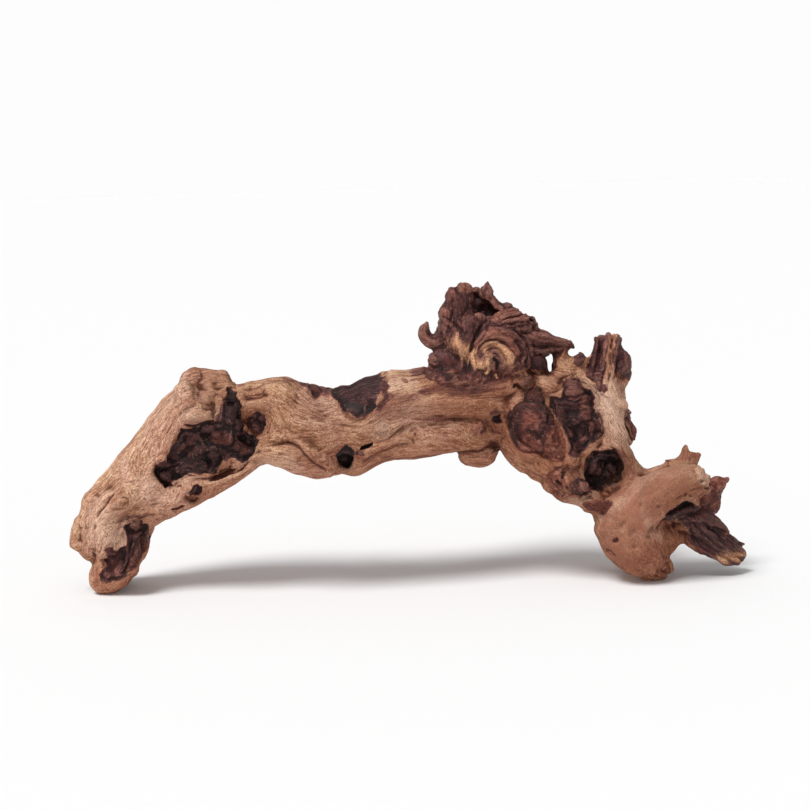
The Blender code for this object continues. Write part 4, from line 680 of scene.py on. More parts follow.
# Slits and creases, each how deep (mm), how wide (mm), how dark, and its line (x, z).
CREASES = {
    "lip under": (1.2, 1, 0.7, [(-131, 100), (-126, 99), (-120, 100), (-113, 102.5)]),
    "limb slit": (1.4, 0.8, 0.8, [(-118, 65), (-114, 66), (-110, 67.5), (-104, 70), (-97, 72)]),
    "lower notch": (1.4, 1.4, 0.6, [(-142, 47.5), (-138, 48), (-134, 50)]),
    "tab hollow": (0.6, 1.2, 0.45, [(-96, 113), (-93, 115), (-88, 115.5), (-84, 117)]),
    "nose slit": (0.6, 0.7, 0.35, [(-175.9, 61), (-180, 55.4), (-184.1, 49.7), (-188.2, 44)]),
    "foot split": (1.4, 0.9, 0.8, [(-166, 30), (-170, 22), (-170, 14), (-175, 9)]),
    "eddy": (0.5, 0.7, 0.4, [
        (-76, 87.2), (-68, 86.8), (-62.3, 82.6), (-57.8, 75.8), (-53.1, 71.8), (-47.4, 69.6),
    ]),
    "long streak": (0.3, 1, 0.45, [(4, 99), (12, 98.5), (20, 100), (30, 98), (40, 98)]),
    "base line": (0.5, 1.2, 0.4, [(20, 121), (30, 118), (44, 120), (56, 122), (66, 124)]),
    "olive slit": (2, 1.4, 1, [(66, 116.6), (68.4, 117.6), (71, 115.4)]),
    "divide": (0.6, 0.8, 0.3, [(88, 110), (91.5, 100), (94, 93), (99, 86), (99, 76)]),
    "dome line": (0.8, 1.2, 0.45, [(63, 93), (64, 86), (68, 80), (75, 76.5), (84, 76)]),
    "dome cap line": (0.8, 1, 0.6, [(73, 109), (77, 107), (82, 108), (84.5, 112)]),
    "pocket wrinkle top": (1, 0.9, 0.45, [(95, 110.5), (101, 110), (107, 110.5), (113, 112)]),
    "pocket wrinkle": (1, 0.9, 0.45, [(90, 104.5), (97, 105), (104, 104.5), (111, 105), (116, 103)]),
    "pocket wrinkle mid": (0.8, 0.9, 0.45, [(98, 101), (104, 100.5), (111, 101.5)]),
    "pocket wrinkle low": (0.9, 0.9, 0.45, [(97, 96), (103, 97), (107, 94), (113, 95)]),
    "pocket hook": (1, 0.9, 0.45, [(103, 86), (104, 91), (108, 92), (110, 88), (107, 84), (103, 83)]),
    "pocket foot": (1, 0.9, 0.45, [(100, 82), (103, 77), (108, 76)]),
    "hole edge": (1.6, 1.4, 0.9, [(110, 58), (109, 66), (112, 72), (118, 76)]),
    "leg line edge": (1.2, 1, 0.6, [(133, 96), (134.5, 90), (137, 84), (138.5, 80)]),
    "stub line left": (0.6, 0.8, 0.35, [(114, 118), (117, 130), (119, 145)]),
    "stub line": (0.6, 0.8, 0.35, [(119, 112), (121.5, 126), (125, 143)]),
    "stub line right": (0.5, 0.8, 0.3, [(123, 114), (125.5, 126), (128, 140)]),
    "stub foot": (0.8, 1.2, 0.5, [(112, 122), (115, 116), (121, 109), (124, 108)]),
    "mouth seam": (0.5, 0.6, 0.35, [(157, 33), (154.5, 30), (152, 27)]),
    "torn crack": (0.5, 0.8, 0.4, [(171, 45.6), (174.6, 45.4), (177.4, 46)]),
    "prong line top": (0.8, 0.8, 0.5, [
        (164, 35.4), (171, 34.6), (178, 32), (184, 27), (190, 21), (199, 16),
    ]),
    "prong line mid": (0.8, 0.8, 0.5, [(168, 33), (174, 29), (180, 23), (188, 16), (196, 11)]),
    "prong line low": (0.8, 0.8, 0.5, [(171.4, 28), (174, 20), (180, 14), (191, 8)]),
    "prong split": (1.8, 0.8, 0.9, [(182, 27.6), (185.6, 26.2), (190.3, 24.4), (193.4, 24)]),
    "prong tip crack": (1.4, 0.7, 0.8, [(189, 11), (193, 8.5), (197, 6)]),
    "swirl left": (1, 0.9, 0.7, [(45, 130), (43, 138), (46, 144), (50, 149), (53, 154)]),
    "swirl band out": (1, 1, 0.8, [(71, 130), (71.5, 138), (68, 145), (64, 149)]),
    "swirl rim crack": (1.2, 0.9, 0.9, [(75, 129), (75, 137), (72, 145), (66, 151)]),
    "burl crack": (1.6, 0.9, 0.9, [(41, 139), (44, 147), (48, 153), (52, 157)]),
    "leaf line": (1.2, 0.7, 0.8, [(54, 152.5), (64, 154.5), (74, 155.5)]),
    "leaf line high": (1.2, 0.7, 0.8, [(56, 154.5), (65, 158.5), (73, 160)]),
    "beak line": (1, 0.8, 0.5, [(72, 150), (82, 146), (92, 143.5), (100, 143)]),
    "beak line low": (0.8, 0.8, 0.5, [(76, 142), (86, 140), (96, 141)]),
    "wall line": (0.7, 0.9, 0.4, [(31, 148), (29, 156), (32, 164), (31, 172)]),
    "wall line right": (0.7, 0.9, 0.4, [(38, 146), (36, 154), (38, 162), (41, 170)]),
    "wall fork": (1.4, 1, 0.9, [(36, 150), (33, 155), (27, 160)]),
    "ear edge": (0.7, 0.7, 0.3, [(-172.6, 56.8), (-169, 56.2), (-167.4, 53.4), (-168.4, 51)]),
    "swirl outer line": (0.9, 0.6, 0.6, [
        (45.4, 137), (47.4, 142), (52.6, 145.8), (58.8, 145.2), (64.8, 141.4), (68.2, 135),
    ]),
    "swirl inner line": (0.6, 0.5, 0.5, [
        (49.8, 137), (53.2, 140.2), (58.4, 139.8), (61.8, 137), (63.2, 132.4),
    ]),
    "swirl core line": (0.6, 0.5, 0.5, [(52.4, 136), (56, 137.4), (59, 135), (59.6, 131)]),
}

# The unseen side: outlines (x, z) seen straight from behind, and what lies in them.
BACK_OUTLINES = {
    "back shoulder pocket": [
        (-143, 92), (-140, 101), (-132, 104), (-128, 111), (-118, 113), (-109, 107), (-104, 99), (-111, 92),
        (-112, 86), (-125, 82), (-131, 86), (-138, 84),
    ],
    "back knot hole": [(-92, 106), (-87, 111), (-81, 109), (-80, 103), (-85, 99), (-91, 101)],
    "back limb hole": [(-25, 95), (-20, 98), (-14, 98), (-11, 94), (-15, 89), (-22, 89)],
    "back seam": [(-74, 93), (-62, 91), (-46, 85), (-33, 86), (-34, 83), (-47, 81), (-62, 87), (-74, 90)],
    "back knuckle pocket": [
        (86, 104), (92, 106), (97, 111), (104, 107), (108, 98), (109, 88), (113, 81), (107, 75), (99, 78),
        (93, 77), (89, 84), (91, 92), (85, 97),
    ],
    "back heel pocket": [(122, 46), (128, 51), (136, 46), (138, 36), (131, 32), (125, 38)],
    "back burl": [
        (4, 165), (8, 142), (20, 134), (26, 124), (40, 117), (56, 113), (72, 112), (84, 120), (92, 126),
        (110, 138), (110, 165), (80, 190), (20, 190),
    ],
    "back top patch": [(-46, 124), (-34, 113), (-20, 110), (-10, 114), (-6, 124), (-14, 138), (-45, 138)],
    "back foot": [(-190, -4), (-190, 14), (-180, 24), (-172, 22), (-168, 10), (-164, -4)],
    "back stub": [(112, 150), (111, 130), (118, 112), (128, 108), (140, 116), (142, 150)],
    "back spikes": [(160, 66), (184, 64), (186, 84), (156, 84)],
    "back fin": [(174, 66), (172, 30), (176, 24), (202, 20), (204, 66)],
    "back prong": [(164, 40), (163, 12), (214, -4), (214, 40)],
    "back stump": [(-56, 104), (-54, 118), (-44, 118), (-42, 104)],
}

BACK_AREAS = {
    "back shoulder pocket": dict(deep=1.5, rim=1.6, heart=1, dark=0.75, gnarl=1),
    "back knot hole": dict(deep=1.5, rim=1.4, heart=1, dark=0.8, gnarl=0.6),
    "back limb hole": dict(deep=2.5, rim=1.4, heart=1, dark=0.95, gnarl=0.3),
    "back seam": dict(deep=1.5, rim=1.2, heart=0.8, dark=0.6, gnarl=0.3),
    "back knuckle pocket": dict(deep=1.6, rim=1.6, heart=1, dark=0.75, gnarl=1),
    "back heel pocket": dict(deep=1.5, rim=1.6, heart=1, dark=0.7, gnarl=0.7),
    "back burl": dict(deep=0, rim=2, heart=1, dark=0.4, red=0.1, gnarl=0.75),
    "back top patch": dict(deep=0.8, rim=1.4, heart=1, dark=0.5, gnarl=0.2),
    "back foot": dict(deep=0.8, rim=2, heart=0.9, dark=0.4, red=0.2, gnarl=0.5),
    "back stub": dict(deep=0, rim=1.5, heart=1, dark=0.45, gnarl=0.3),
    "back spikes": dict(deep=0, rim=1.5, heart=0.6, dark=0.1, red=0.7, gnarl=0.3),
    "back fin": dict(deep=0, rim=1.5, heart=0.95, dark=0.3, red=0.5, gnarl=0.4),
    "back prong": dict(deep=0, rim=1.5, heart=1, dark=0.45, gnarl=0.2),
    "back stump": dict(deep=0, rim=1.5, heart=0.8, dark=0.3, red=0.3, gnarl=0.4),
}

BACK_CREASES = {
    "back eddy": (1.8, 1.8, 0.4, [(-176, 52), (-160, 62), (-150, 72), (-146, 84)]),
    "back leg line": (1, 1.2, 0.3, [(-168, 44), (-152, 56), (-138, 68), (-124, 76)]),
    "back leg line high": (0.8, 1, 0.3, [(-160, 72), (-150, 86), (-144, 98)]),
    "back limb line": (1.2, 1.4, 0.35, [(-100, 86), (-84, 94), (-66, 98), (-52, 96), (-36, 96)]),
    "back limb line high": (0.9, 1.2, 0.3, [(-98, 112), (-80, 116), (-62, 114)]),
    "back limb line low": (1, 1.2, 0.3, [(-32, 80), (-14, 82), (4, 86), (22, 88), (40, 88)]),
    "back slit": (2.4, 1, 0.9, [(-2, 100), (6, 101), (14, 100)]),
    "back burr ring": (1.2, 1.2, 0.5, [(2, 96), (12, 95), (18, 101), (14, 109), (4, 110), (-2, 104)]),
    "back knuckle line": (1.2, 1.2, 0.4, [(66, 96), (76, 86), (88, 70), (102, 56)]),
    "back knuckle line high": (1, 1.2, 0.4, [(72, 110), (82, 116), (94, 118), (106, 112)]),
    "back leg split": (1.4, 1, 0.6, [(112, 74), (120, 62), (126, 54)]),
    "back foot line": (1.2, 1.2, 0.4, [(128, 30), (138, 22), (146, 12)]),
}

# Knots that the grain flows around, as (x, z, radius), on the seen side and behind.
KNOTS = [
    (-87, 100, 9), (-126.5, 58.5, 7), (-118, 90, 16), (-35, 78, 8), (-13, 93, 4.5), (45, 95, 6),
    (56, 98.5, 5), (74, 121, 7), (78, 94, 18), (6.5, 90, 3.5), (127, 22, 5), (106, 98, 14), (121, 64, 13),
    (-52, 116, 5), (-28, 108, 8), (-172, 56, 6), (-165, 28, 10), (-6, 124, 5), (51, 94, 3),
]
BACK_KNOTS = [
    (-122, 97, 15), (-86, 105, 9), (-18, 94, 9), (8, 102, 9), (98, 92, 15), (130, 41, 9), (-49, 110, 7),
    (-150, 66, 6), (40, 96, 6), (-64, 104, 5), (70, 92, 6),
]

# Strands of wood finer than the solids have, each a run of points (x, y, z, radius) before the
# wander. Some fill a corner of a pocket that is too deep, and so too dark.
TWIGS = {
    "left horn": [
        (30, -6, 149, 5), (21, -7, 145.5, 4), (15, -7, 148, 3.4), (13.5, -7, 153, 2.6), (16, -7, 157.5, 1),
    ],
    "left lump": [(28, -8, 134, 7), (21, -9, 136, 4.5), (20, -9, 132, 4)],
    "left edge fin": [(30, -4, 156, 4), (25.5, -4, 161, 2.4), (24, -4, 164, 1)],
    "top left lobe": [(33, -6, 168, 5), (31, -6, 174, 3.6), (30, -5, 177, 2.4)],
    "top lobe": [(37, -3, 168, 6), (39, -2, 174, 5), (40, -1, 177, 3)],
    "right horn": [(60, 0, 161, 4.5), (56, 0, 169, 3.6), (53.5, 0, 176, 2.4), (53, 0, 180.5, 0.9)],
    "right horn edge": [(50, 2, 168, 3), (51, 1, 174, 2.4), (52.5, 0, 179, 1.2)],
    "upper lump": [(62, -4, 161, 5), (64.5, -4, 164.5, 3.6)],
    "leaf rib high": [(56, -13, 155, 2.4), (64, -13, 159.4, 2.6), (72, -10, 160.6, 2)],
    "leaf rib mid": [(54, -15, 153.5, 2.2), (64, -15, 156.5, 2.4), (74, -11, 158.5, 2.2)],
    "leaf rib low": [(54, -16, 151.5, 2), (64, -15.5, 152.5, 2.2), (76, -10, 153.5, 2.2)],
    "leaf end": [(73, -8, 159.5, 2.4), (78, -7, 159.8, 2), (80.6, -6, 157.4, 2), (80.4, -6, 154.2, 2)],
    "beak ridge": [(76, -9, 148, 3), (86, -8, 146.5, 2.6), (96, -5, 145.5, 2), (101, -3, 144.5, 1.6)],
    "beak tip": [(96, -2, 143.5, 3), (101.5, -2, 142.5, 2.2), (104, -2, 140, 1)],
    "beak under": [(74, -10, 140, 3), (84, -8, 139, 2.4), (94, -4, 139.5, 2)],
    "wall snag": [(50, -15, 158, 3), (47, -16, 161, 2.6)],
    "wall crease": [(43, -17, 150, 2), (48, -17.5, 156, 2)],
    "swirl ring": [
        (43, -21, 136, 1.6), (45, -22, 143, 1.6), (50, -22.5, 148, 1.6), (58, -23, 149.5, 1.6),
        (65, -22, 146, 1.6), (69, -20, 139, 1.6), (70, -19, 132, 1.6),
    ],
    "swirl outer ring": [
        (63, -21, 151, 1.8), (70, -19, 147, 1.8), (74, -17, 139, 1.8), (75, -16, 131, 1.6),
    ],
    "swirl inner ring": [
        (52, -24.5, 139, 1.4), (57, -25.5, 141.5, 1.6), (63, -25, 138, 1.6), (64.5, -23.5, 132, 1.6),
    ],
    "knob": [(105, -8, 130, 4), (108, -8, 134.5, 3.2)],
    "knob spur": [(110, -6, 131, 2.4), (112.5, -6, 136, 1.6)],
    "rim edge": [
        (105, -21, 123, 1.6), (110, -23, 119, 1.6), (115, -23.5, 114, 1.6), (119.5, -23.5, 109.5, 1.2),
    ],
    "stub fibre left": [(112.5, -5, 116, 3), (114, -4, 130, 3), (116.5, -3, 144, 2)],
    "stub fibre": [(118, -6, 112, 3.4), (120.5, -4, 130, 3), (124, -2, 146.5, 1.8)],
    "stub fibre right": [(122, -5, 112, 3), (125.5, -2, 130, 2.6), (129.5, 0, 145, 1.8)],
    "stub lump": [(128, 2, 124, 5), (133, 3, 128, 4.5), (133, 3, 134, 4), (131, 3, 140, 2.4)],
    "back bump": [(133, 6, 92, 5), (138, 7, 88, 5), (137, 7, 82, 4.5)],
    "back bump top": [(134, 6, 96, 3.4), (137, 6, 98, 2)],
    "hook crown": [(150, -24, 63, 5), (160, -24, 66, 4.5), (172, -23, 66.5, 3.4)],
    "hook torn edge": [(176, -22, 64, 3), (180, -21, 58, 2.4), (182.5, -20, 54, 1.4)],
    "hook torn lip": [(172, -22, 50, 2.4), (177, -21, 49, 2), (179, -20.5, 44, 1.6)],
    "low spike": [(154, -20, 64, 4), (155, -20, 69, 2.4), (155.2, -20, 72, 1.3)],
    "spike": [(163, -8, 64, 5), (167, -7, 70.6, 2.8), (168, -7, 76.4, 1.9)],
    "spike side": [(169, -7, 67.6, 3.6), (173.6, -6, 70.4, 2.4), (176.6, -6, 73, 1.6)],
    "fin tip": [(182, 5, 50, 5), (190, 6, 55, 3.4), (194.5, 6, 58, 2)],
    "fin edge": [(184, 5, 44, 4), (188.6, 5.6, 43, 3), (188.6, 6, 39, 2.6), (188, 6, 36, 2)],
    "prong flake high": [(176, -9, 37, 3), (186, -7, 32, 2.6), (192, -6, 27, 1.8)],
    "prong flake": [(180, -12, 32, 3), (190, -10, 25, 2.4), (196, -9, 21.5, 1.6)],
    "prong splinter": [(194, -9, 20, 2.4), (200, -7, 18.5, 1.6), (204.5, -6, 17.5, 0.9)],
    "prong keel": [(168, -19, 26, 3), (178, -19, 18, 3), (190, -16, 11, 2.6), (198, -13, 8, 2)],
    "toe nail": [(150, -14, 10, 6), (155, -13, 8, 4.5), (157, -12, 5, 3)],
    "belly knob": [(40, -6, 78, 8), (50, -6, 78, 8)],
    "prong arch": [
        (157, -20, 34.6, 2), (163, -23, 37, 3), (169, -24.5, 38, 3.4), (176, -23, 37, 3.6),
        (182, -19, 34, 3.2), (188, -14, 29.6, 3), (192, -12, 26.2, 1.8),
    ],
    "prong web": [
        (158, -20.5, 32.6, 2.4), (165, -23.6, 33.4, 3.4), (173, -23.4, 32.4, 3.8), (182, -18.4, 26, 3.4),
    ],
    "knuckle fill": [(107, -25, 114.6, 2.6), (111.4, -25.4, 112, 3.4), (113.6, -24.6, 107, 2.8)],
    "pocket fill": [(-94, -16.6, 98, 3.2), (-91, -16, 93.2, 3.8), (-88.6, -15, 89, 3)],
    "hole floor": [(-36.4, -9.6, 85, 4.4), (-34.6, -10.4, 79.6, 5.6), (-33.4, -9.6, 74, 4.6)],
    "hole foot": [
        (105, -23.4, 52.4, 2.2), (111, -22, 52, 2.4), (117, -20.6, 52.6, 2.6), (122, -18.6, 53, 2),
    ],
    "hole middle": [(118, -20, 72, 3), (121, -20, 70.6, 3.6), (124, -19, 68, 3)],
    "pocket nook": [(-114, -25, 99.6, 2.4), (-111.8, -25.4, 98.9, 2.8), (-109, -25, 98, 2.4)],
    "knob web": [(50, -12, 80.6, 3), (57, -12, 79.4, 3.2), (64, -12, 80, 3)],
    "round knot": [(43.4, -27.4, 95.4, 2.6), (46.4, -27.2, 96.4, 2.6), (45, -27.6, 92.6, 2.6)],
    "prong cheek": [
        (162, -20, 33, 3), (169, -23, 32, 4), (176, -21, 27.6, 4), (184, -17, 20, 4), (192, -13, 14.6, 3.4),
    ],
    "horn shoulder": [(58, 0, 164, 4), (54, 0, 171, 3.4), (51, 0, 175.4, 2.4)],
}


def eye_axes():
    """Where the eye stands, and its forward, right and up directions."""
    pitch, roll = math.radians(EYE_PITCH), math.radians(EYE_ROLL)
    forward = np.array([0, math.cos(pitch), -math.sin(pitch)])
    level = np.array([0, math.sin(pitch), math.cos(pitch)])
    right = np.array([math.cos(roll), 0, 0]) - math.sin(roll) * level
    up = np.array([math.sin(roll), 0, 0]) + math.cos(roll) * level
    return EYE_TARGET - forward * EYE_DISTANCE, forward, right, up


def seen(points):
    """Where the eye's sight lines through the points meet the plane Y = 0, as (x, z)."""
    eye = eye_axes()[0]
    ray = points - eye
    reach = -eye[1] / ray[:, 1]
    met = eye + ray * reach[:, None]
    return met[:, [0, 2]]


def smooth_run(points, steps=5):
    """Catmull-Rom points between the given ones, with as many values as they have."""
    rows = np.array([points[0], *points, points[-1]], float)
    made = []
    for before, start, stop, after in zip(rows, rows[1:], rows[2:], rows[3:]):
        for step in range(steps):
            t = step / steps
            row = 2 * start + (stop - before) * t
            row = row + (2 * before - 5 * start + 4 * stop - after) * t * t
            row = row + (3 * start - 3 * stop + after - before) * t * t * t
            made.append(row / 2)
    return np.array(made + [rows[-1]])


def wander(points):
    """The points with the root's sideways wander."""
    run = smooth_run(BENDS)
    aside = np.interp(points[:, 0], run[:, 0], run[:, 1])
    moved = points.copy()
    moved[:, 1] += aside
    moved[:, 2] -= aside * DROP
    return moved


def lattice(cells, seed):
    """A number from -1 to 1 for each cell of a 3-D grid."""
    mixed = cells[..., 0] * 374761393 + cells[..., 1] * 668265263 + cells[..., 2] * 1103515245
    mixed = (mixed + seed * 1274126177) & 0xFFFFFFFF
    mixed = ((mixed ^ (mixed >> 13)) * 1274126177) & 0xFFFFFFFF
    mixed = ((mixed ^ (mixed >> 16)) * 2246822519) & 0xFFFFFFFF
    return ((mixed ^ (mixed >> 15)) & 0xFFFFFF) / 0x7FFFFF - 1


def noise(points, seed):
    """Smooth noise from about -1 to 1 with one wave to a unit."""
    floor = np.floor(points).astype(np.int64)
    part = points - floor
    ease = part * part * part * (part * (part * 6 - 15) + 10)
    total = np.zeros(len(points))
    for corner in np.ndindex(2, 2, 2):
        step = np.array(corner)
        share = np.prod(np.where(step, ease, 1 - ease), axis=1)
        total += share * lattice(floor + step, seed)
    return total * 1.6


def layered(points, seed, octaves=3, gain=0.5):
    """Noise with finer and weaker noise on it."""
    total = np.zeros(len(points))
    share, weight = 1.0, 0.0
    for octave in range(octaves):
        total += share * noise(points * 2.03 ** octave, seed + octave)
        weight += share
        share *= gain
    return total / weight


def ridged(points, seed, octaves=3):
    """Sharp crests, from 0 in the valleys to 1 on the crests."""
    total = np.zeros(len(points))
    share, weight = 1.0, 0.0
    for octave in range(octaves):
        total += share * (1 - np.abs(noise(points * 2.03 ** octave, seed + octave)))
        weight += share
        share *= 0.5
    return np.clip(total / weight, 0, 1)


def step_up(low, high, value):
    """0 below low, 1 above high and smooth between."""
    t = np.clip((value - low) / (high - low), 0, 1)
    return t * t * (3 - 2 * t)


def outline_distance(spots, outline):
    """How far (x, z) spots are outside a closed outline; less than 0 inside it."""
    corners = np.array(outline, float)
    nearest = np.full(len(spots), 1e9)
    inside = np.zeros(len(spots), bool)
    for start, stop in zip(corners, np.roll(corners, -1, axis=0)):
        nearest = np.minimum(nearest, stretch_distance(spots, start, stop)[0])
        crosses = (start[1] > spots[:, 1]) != (stop[1] > spots[:, 1])
        rise = stop[1] - start[1]
        if rise:
            at = start[0] + (spots[:, 1] - start[1]) * (stop[0] - start[0]) / rise
            inside ^= crosses & (spots[:, 0] < at)
    return np.where(inside, -nearest, nearest)


def stretch_distance(spots, start, stop):
    """How far spots are from a straight stretch, and how far along it they are, 0 to 1."""
    run = stop - start
    along = np.clip((spots - start) @ run / max(run @ run, 1e-9), 0, 1)
    return np.linalg.norm(spots - start - along[:, None] * run, axis=1), along


def line_distance(spots, line):
    """How far spots are from an open line of points, and how far along it they are, 0 to 1."""
    run = smooth_run(line, 4)
    nearest = np.full(len(spots), 1e9)
    place = np.zeros(len(spots))
    pieces = len(run) - 1
    for index, (start, stop) in enumerate(zip(run, run[1:])):
        away, along = stretch_distance(spots, start, stop)
        closer = away < nearest
        nearest[closer] = away[closer]
        place[closer] = (index + along[closer]) / pieces
    return nearest, place


def tube(line, sides=12):
    """A closed tube along a run of (x, y, z, radius), as its points and its faces."""
    run = smooth_run(line, 6)
    heads = []
    for end, inner in ((0, 1), (-1, -2)):
        outward = run[end, :3] - run[inner, :3]
        outward /= np.linalg.norm(outward)
        turns = [0.5 * math.pi * share for share in (0.3, 0.6, 0.85)]
        dome = [
            [*(run[end, :3] + outward * run[end, 3] * math.sin(t)), run[end, 3] * math.cos(t)] for t in turns
        ]
        heads.append(dome if end else dome[::-1])
    run = np.array(heads[0] + run.tolist() + heads[1])
    ahead = np.gradient(run[:, :3], axis=0)
    ahead /= np.linalg.norm(ahead, axis=1)[:, None]
    across = np.cross(ahead, [0.3, 1.0, 0.2])
    across /= np.linalg.norm(across, axis=1)[:, None]
    other = np.cross(ahead, across)
    turn = np.arange(sides) * 2 * math.pi / sides
    circle = np.cos(turn)[:, None] * across[:, None] + np.sin(turn)[:, None] * other[:, None]
    rings = run[:, None, :3] + run[:, None, 3:] * circle
    faces = []
    for ring in range(len(run) - 1):
        for side in range(sides):
            low, high = ring * sides, ring * sides + sides
            nxt = (side + 1) % sides
            faces.append((low + side, low + nxt, high + nxt, high + side))
    last = (len(run) - 1) * sides
    faces.append(tuple(range(sides))[::-1])
    faces.append(tuple(range(last, last + sides)))
    return rings.reshape(-1, 3), faces


def mesh_object(name, points, faces):
    """An object from points in the root's millimetres."""
    mesh = bpy.data.meshes.new(name)
    mesh.from_pydata((points + ROOT) * MM, [], faces)
    made = bpy.data.objects.new(name, mesh)
    bpy.context.scene.collection.objects.link(made)
    return made


def apply_modifiers(obj):
    """The object with its modifiers worked into its mesh."""
    bpy.context.view_layer.update()
    graph = bpy.context.evaluated_depsgraph_get()
    old = obj.data
    obj.data = bpy.data.meshes.new_from_object(obj.evaluated_get(graph))
    obj.modifiers.clear()
    bpy.data.meshes.remove(old)
    return obj


def voxel_skin(obj, voxel):
    """One closed skin over everything in the object, of quads about a voxel wide."""
    remesh = obj.modifiers.new("skin", "REMESH")
    remesh.mode = "VOXEL"
    remesh.voxel_size = voxel * MM
    return apply_modifiers(obj)


def positions(mesh):
    """The mesh's points in the root's millimetres."""
    flat = np.empty(len(mesh.vertices) * 3)
    mesh.vertices.foreach_get("co", flat)
    return flat.reshape(-1, 3) / MM - ROOT


def normals(mesh):
    """The mesh's normals at its points."""
    flat = np.empty(len(mesh.vertices) * 3)
    mesh.vertex_normals.foreach_get("vector", flat)
    return flat.reshape(-1, 3)


def place(mesh, points):
    """Moves the mesh's points to places in the root's millimetres."""
    mesh.vertices.foreach_set("co", ((points + ROOT) * MM).ravel())
    mesh.update()


def neighbour_mean(mesh):
    """A function that gives each point the mean of its neighbours' values."""
    ends = np.empty(len(mesh.edges) * 2, np.int32)
    mesh.edges.foreach_get("vertices", ends)
    first, second = ends.reshape(-1, 2).T
    count = len(mesh.vertices)
    share = np.bincount(first, minlength=count) + np.bincount(second, minlength=count)

    def mean(values):
        made = np.empty_like(values)
        for column in range(values.shape[1]):
            line = values[:, column]
            made[:, column] = np.bincount(first, line[second], count)
            made[:, column] += np.bincount(second, line[first], count)
        return made / share[:, None]

    return mean


def worn(mesh, rounds, strength=0.6):
    """Rounds off what is as small as the mesh without shrinking the whole."""
    mean = neighbour_mean(mesh)
    points = positions(mesh)
    for _ in range(rounds):
        points = points + strength * (mean(points) - points)
        points = points - (strength + 0.02) * (mean(points) - points)
    place(mesh, points)


def joined_solids():
    """The frame's solids, each swollen a little so that they meet over the gaps at the forks."""
    edit = bmesh.new()
    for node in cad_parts.values():
        edit.from_mesh(node.data)
    bmesh.ops.remove_doubles(edit, verts=edit.verts, dist=0.00001)
    edit.normal_update()
    moves = [(vert, vert.normal * SWELL * MM) for vert in edit.verts]
    for vert, move in moves:
        vert.co += move
    mesh = bpy.data.meshes.new("wood")
    edit.to_mesh(mesh)
    edit.free()
    made = bpy.data.objects.new("wood", mesh)
    bpy.context.scene.collection.objects.link(made)
    return made


def with_twigs(wood):
    """The wood with the fine strands added."""
    points, faces = [positions(wood.data)], [tuple(p.vertices) for p in wood.data.polygons]
    count = len(points[0])
    for line in TWIGS.values():
        ring_points, ring_faces = tube(line)
        points.append(wander(ring_points))
        faces += [tuple(count + index for index in face) for face in ring_faces]
        count += len(ring_points)
    bpy.data.objects.remove(wood)
    return mesh_object("wood", np.concatenate(points), faces)


def facing(points, facets):
    """From 0 to 1, how much each point looks towards the eye."""
    ray = eye_axes()[0] - points
    ray /= np.linalg.norm(ray, axis=1)[:, None]
    return step_up(*FACING, np.einsum("ij,ij->i", ray, facets))


def grain_frame(points):
    """For each point, the place along and across the fibres (mm), the way along and across, and how
    near it is to where the fibres of two lines meet.
    """
    best = np.full(len(points), 1e9)
    second_best = np.full(len(points), 1e9)
    made = np.zeros((len(points), 3))
    along = np.zeros((len(points), 3))
    aside = np.zeros((len(points), 3))
    offset = 0.0
    for reach, line in GRAIN.values():
        run = wander(smooth_run(line, 8))
        ahead = np.gradient(run, axis=0)
        steps = np.linalg.norm(ahead, axis=1)
        ahead /= steps[:, None]
        first = np.array([0.0, 1.0, 0.0]) - ahead * ahead[:, 1:2]
        first /= np.linalg.norm(first, axis=1)[:, None]
        second = np.cross(ahead, first)
        length = np.concatenate([[0], np.cumsum(np.linalg.norm(np.diff(run, axis=0), axis=1))]) + offset
        offset += 400
        nearest = np.full(len(points), 1e9)
        index = np.zeros(len(points), int)
        for i, spot in enumerate(run):
            away = ((points - spot) ** 2).sum(1)
            closer = away < nearest
            nearest[closer] = away[closer]
            index[closer] = i
        gap = points - run[index]
        ahead_of = np.einsum("ij,ij->i", gap, ahead[index])
        share = np.clip(ahead_of / steps[index], -0.5, 0.5)
        other = np.clip(index + np.sign(share).astype(int), 0, len(run) - 1)
        blend = np.abs(share)[:, None]
        one = first[index] * (1 - blend) + first[other] * blend
        two = second[index] * (1 - blend) + second[other] * blend
        way = ahead[index] * (1 - blend) + ahead[other] * blend
        reached = np.sqrt(nearest) / reach
        taken = reached < best
        second_best = np.minimum(second_best, np.maximum(reached, best))
        best[taken] = reached[taken]
        sets = np.stack([
            length[index] + ahead_of, np.einsum("ij,ij->i", gap, one), np.einsum("ij,ij->i", gap, two),
        ], axis=1)
        made[taken] = sets[taken]
        along[taken] = way[taken]
        aside[taken] = one[taken]
    return made, along, aside, 1 - step_up(0.02, 0.14, second_best - best)


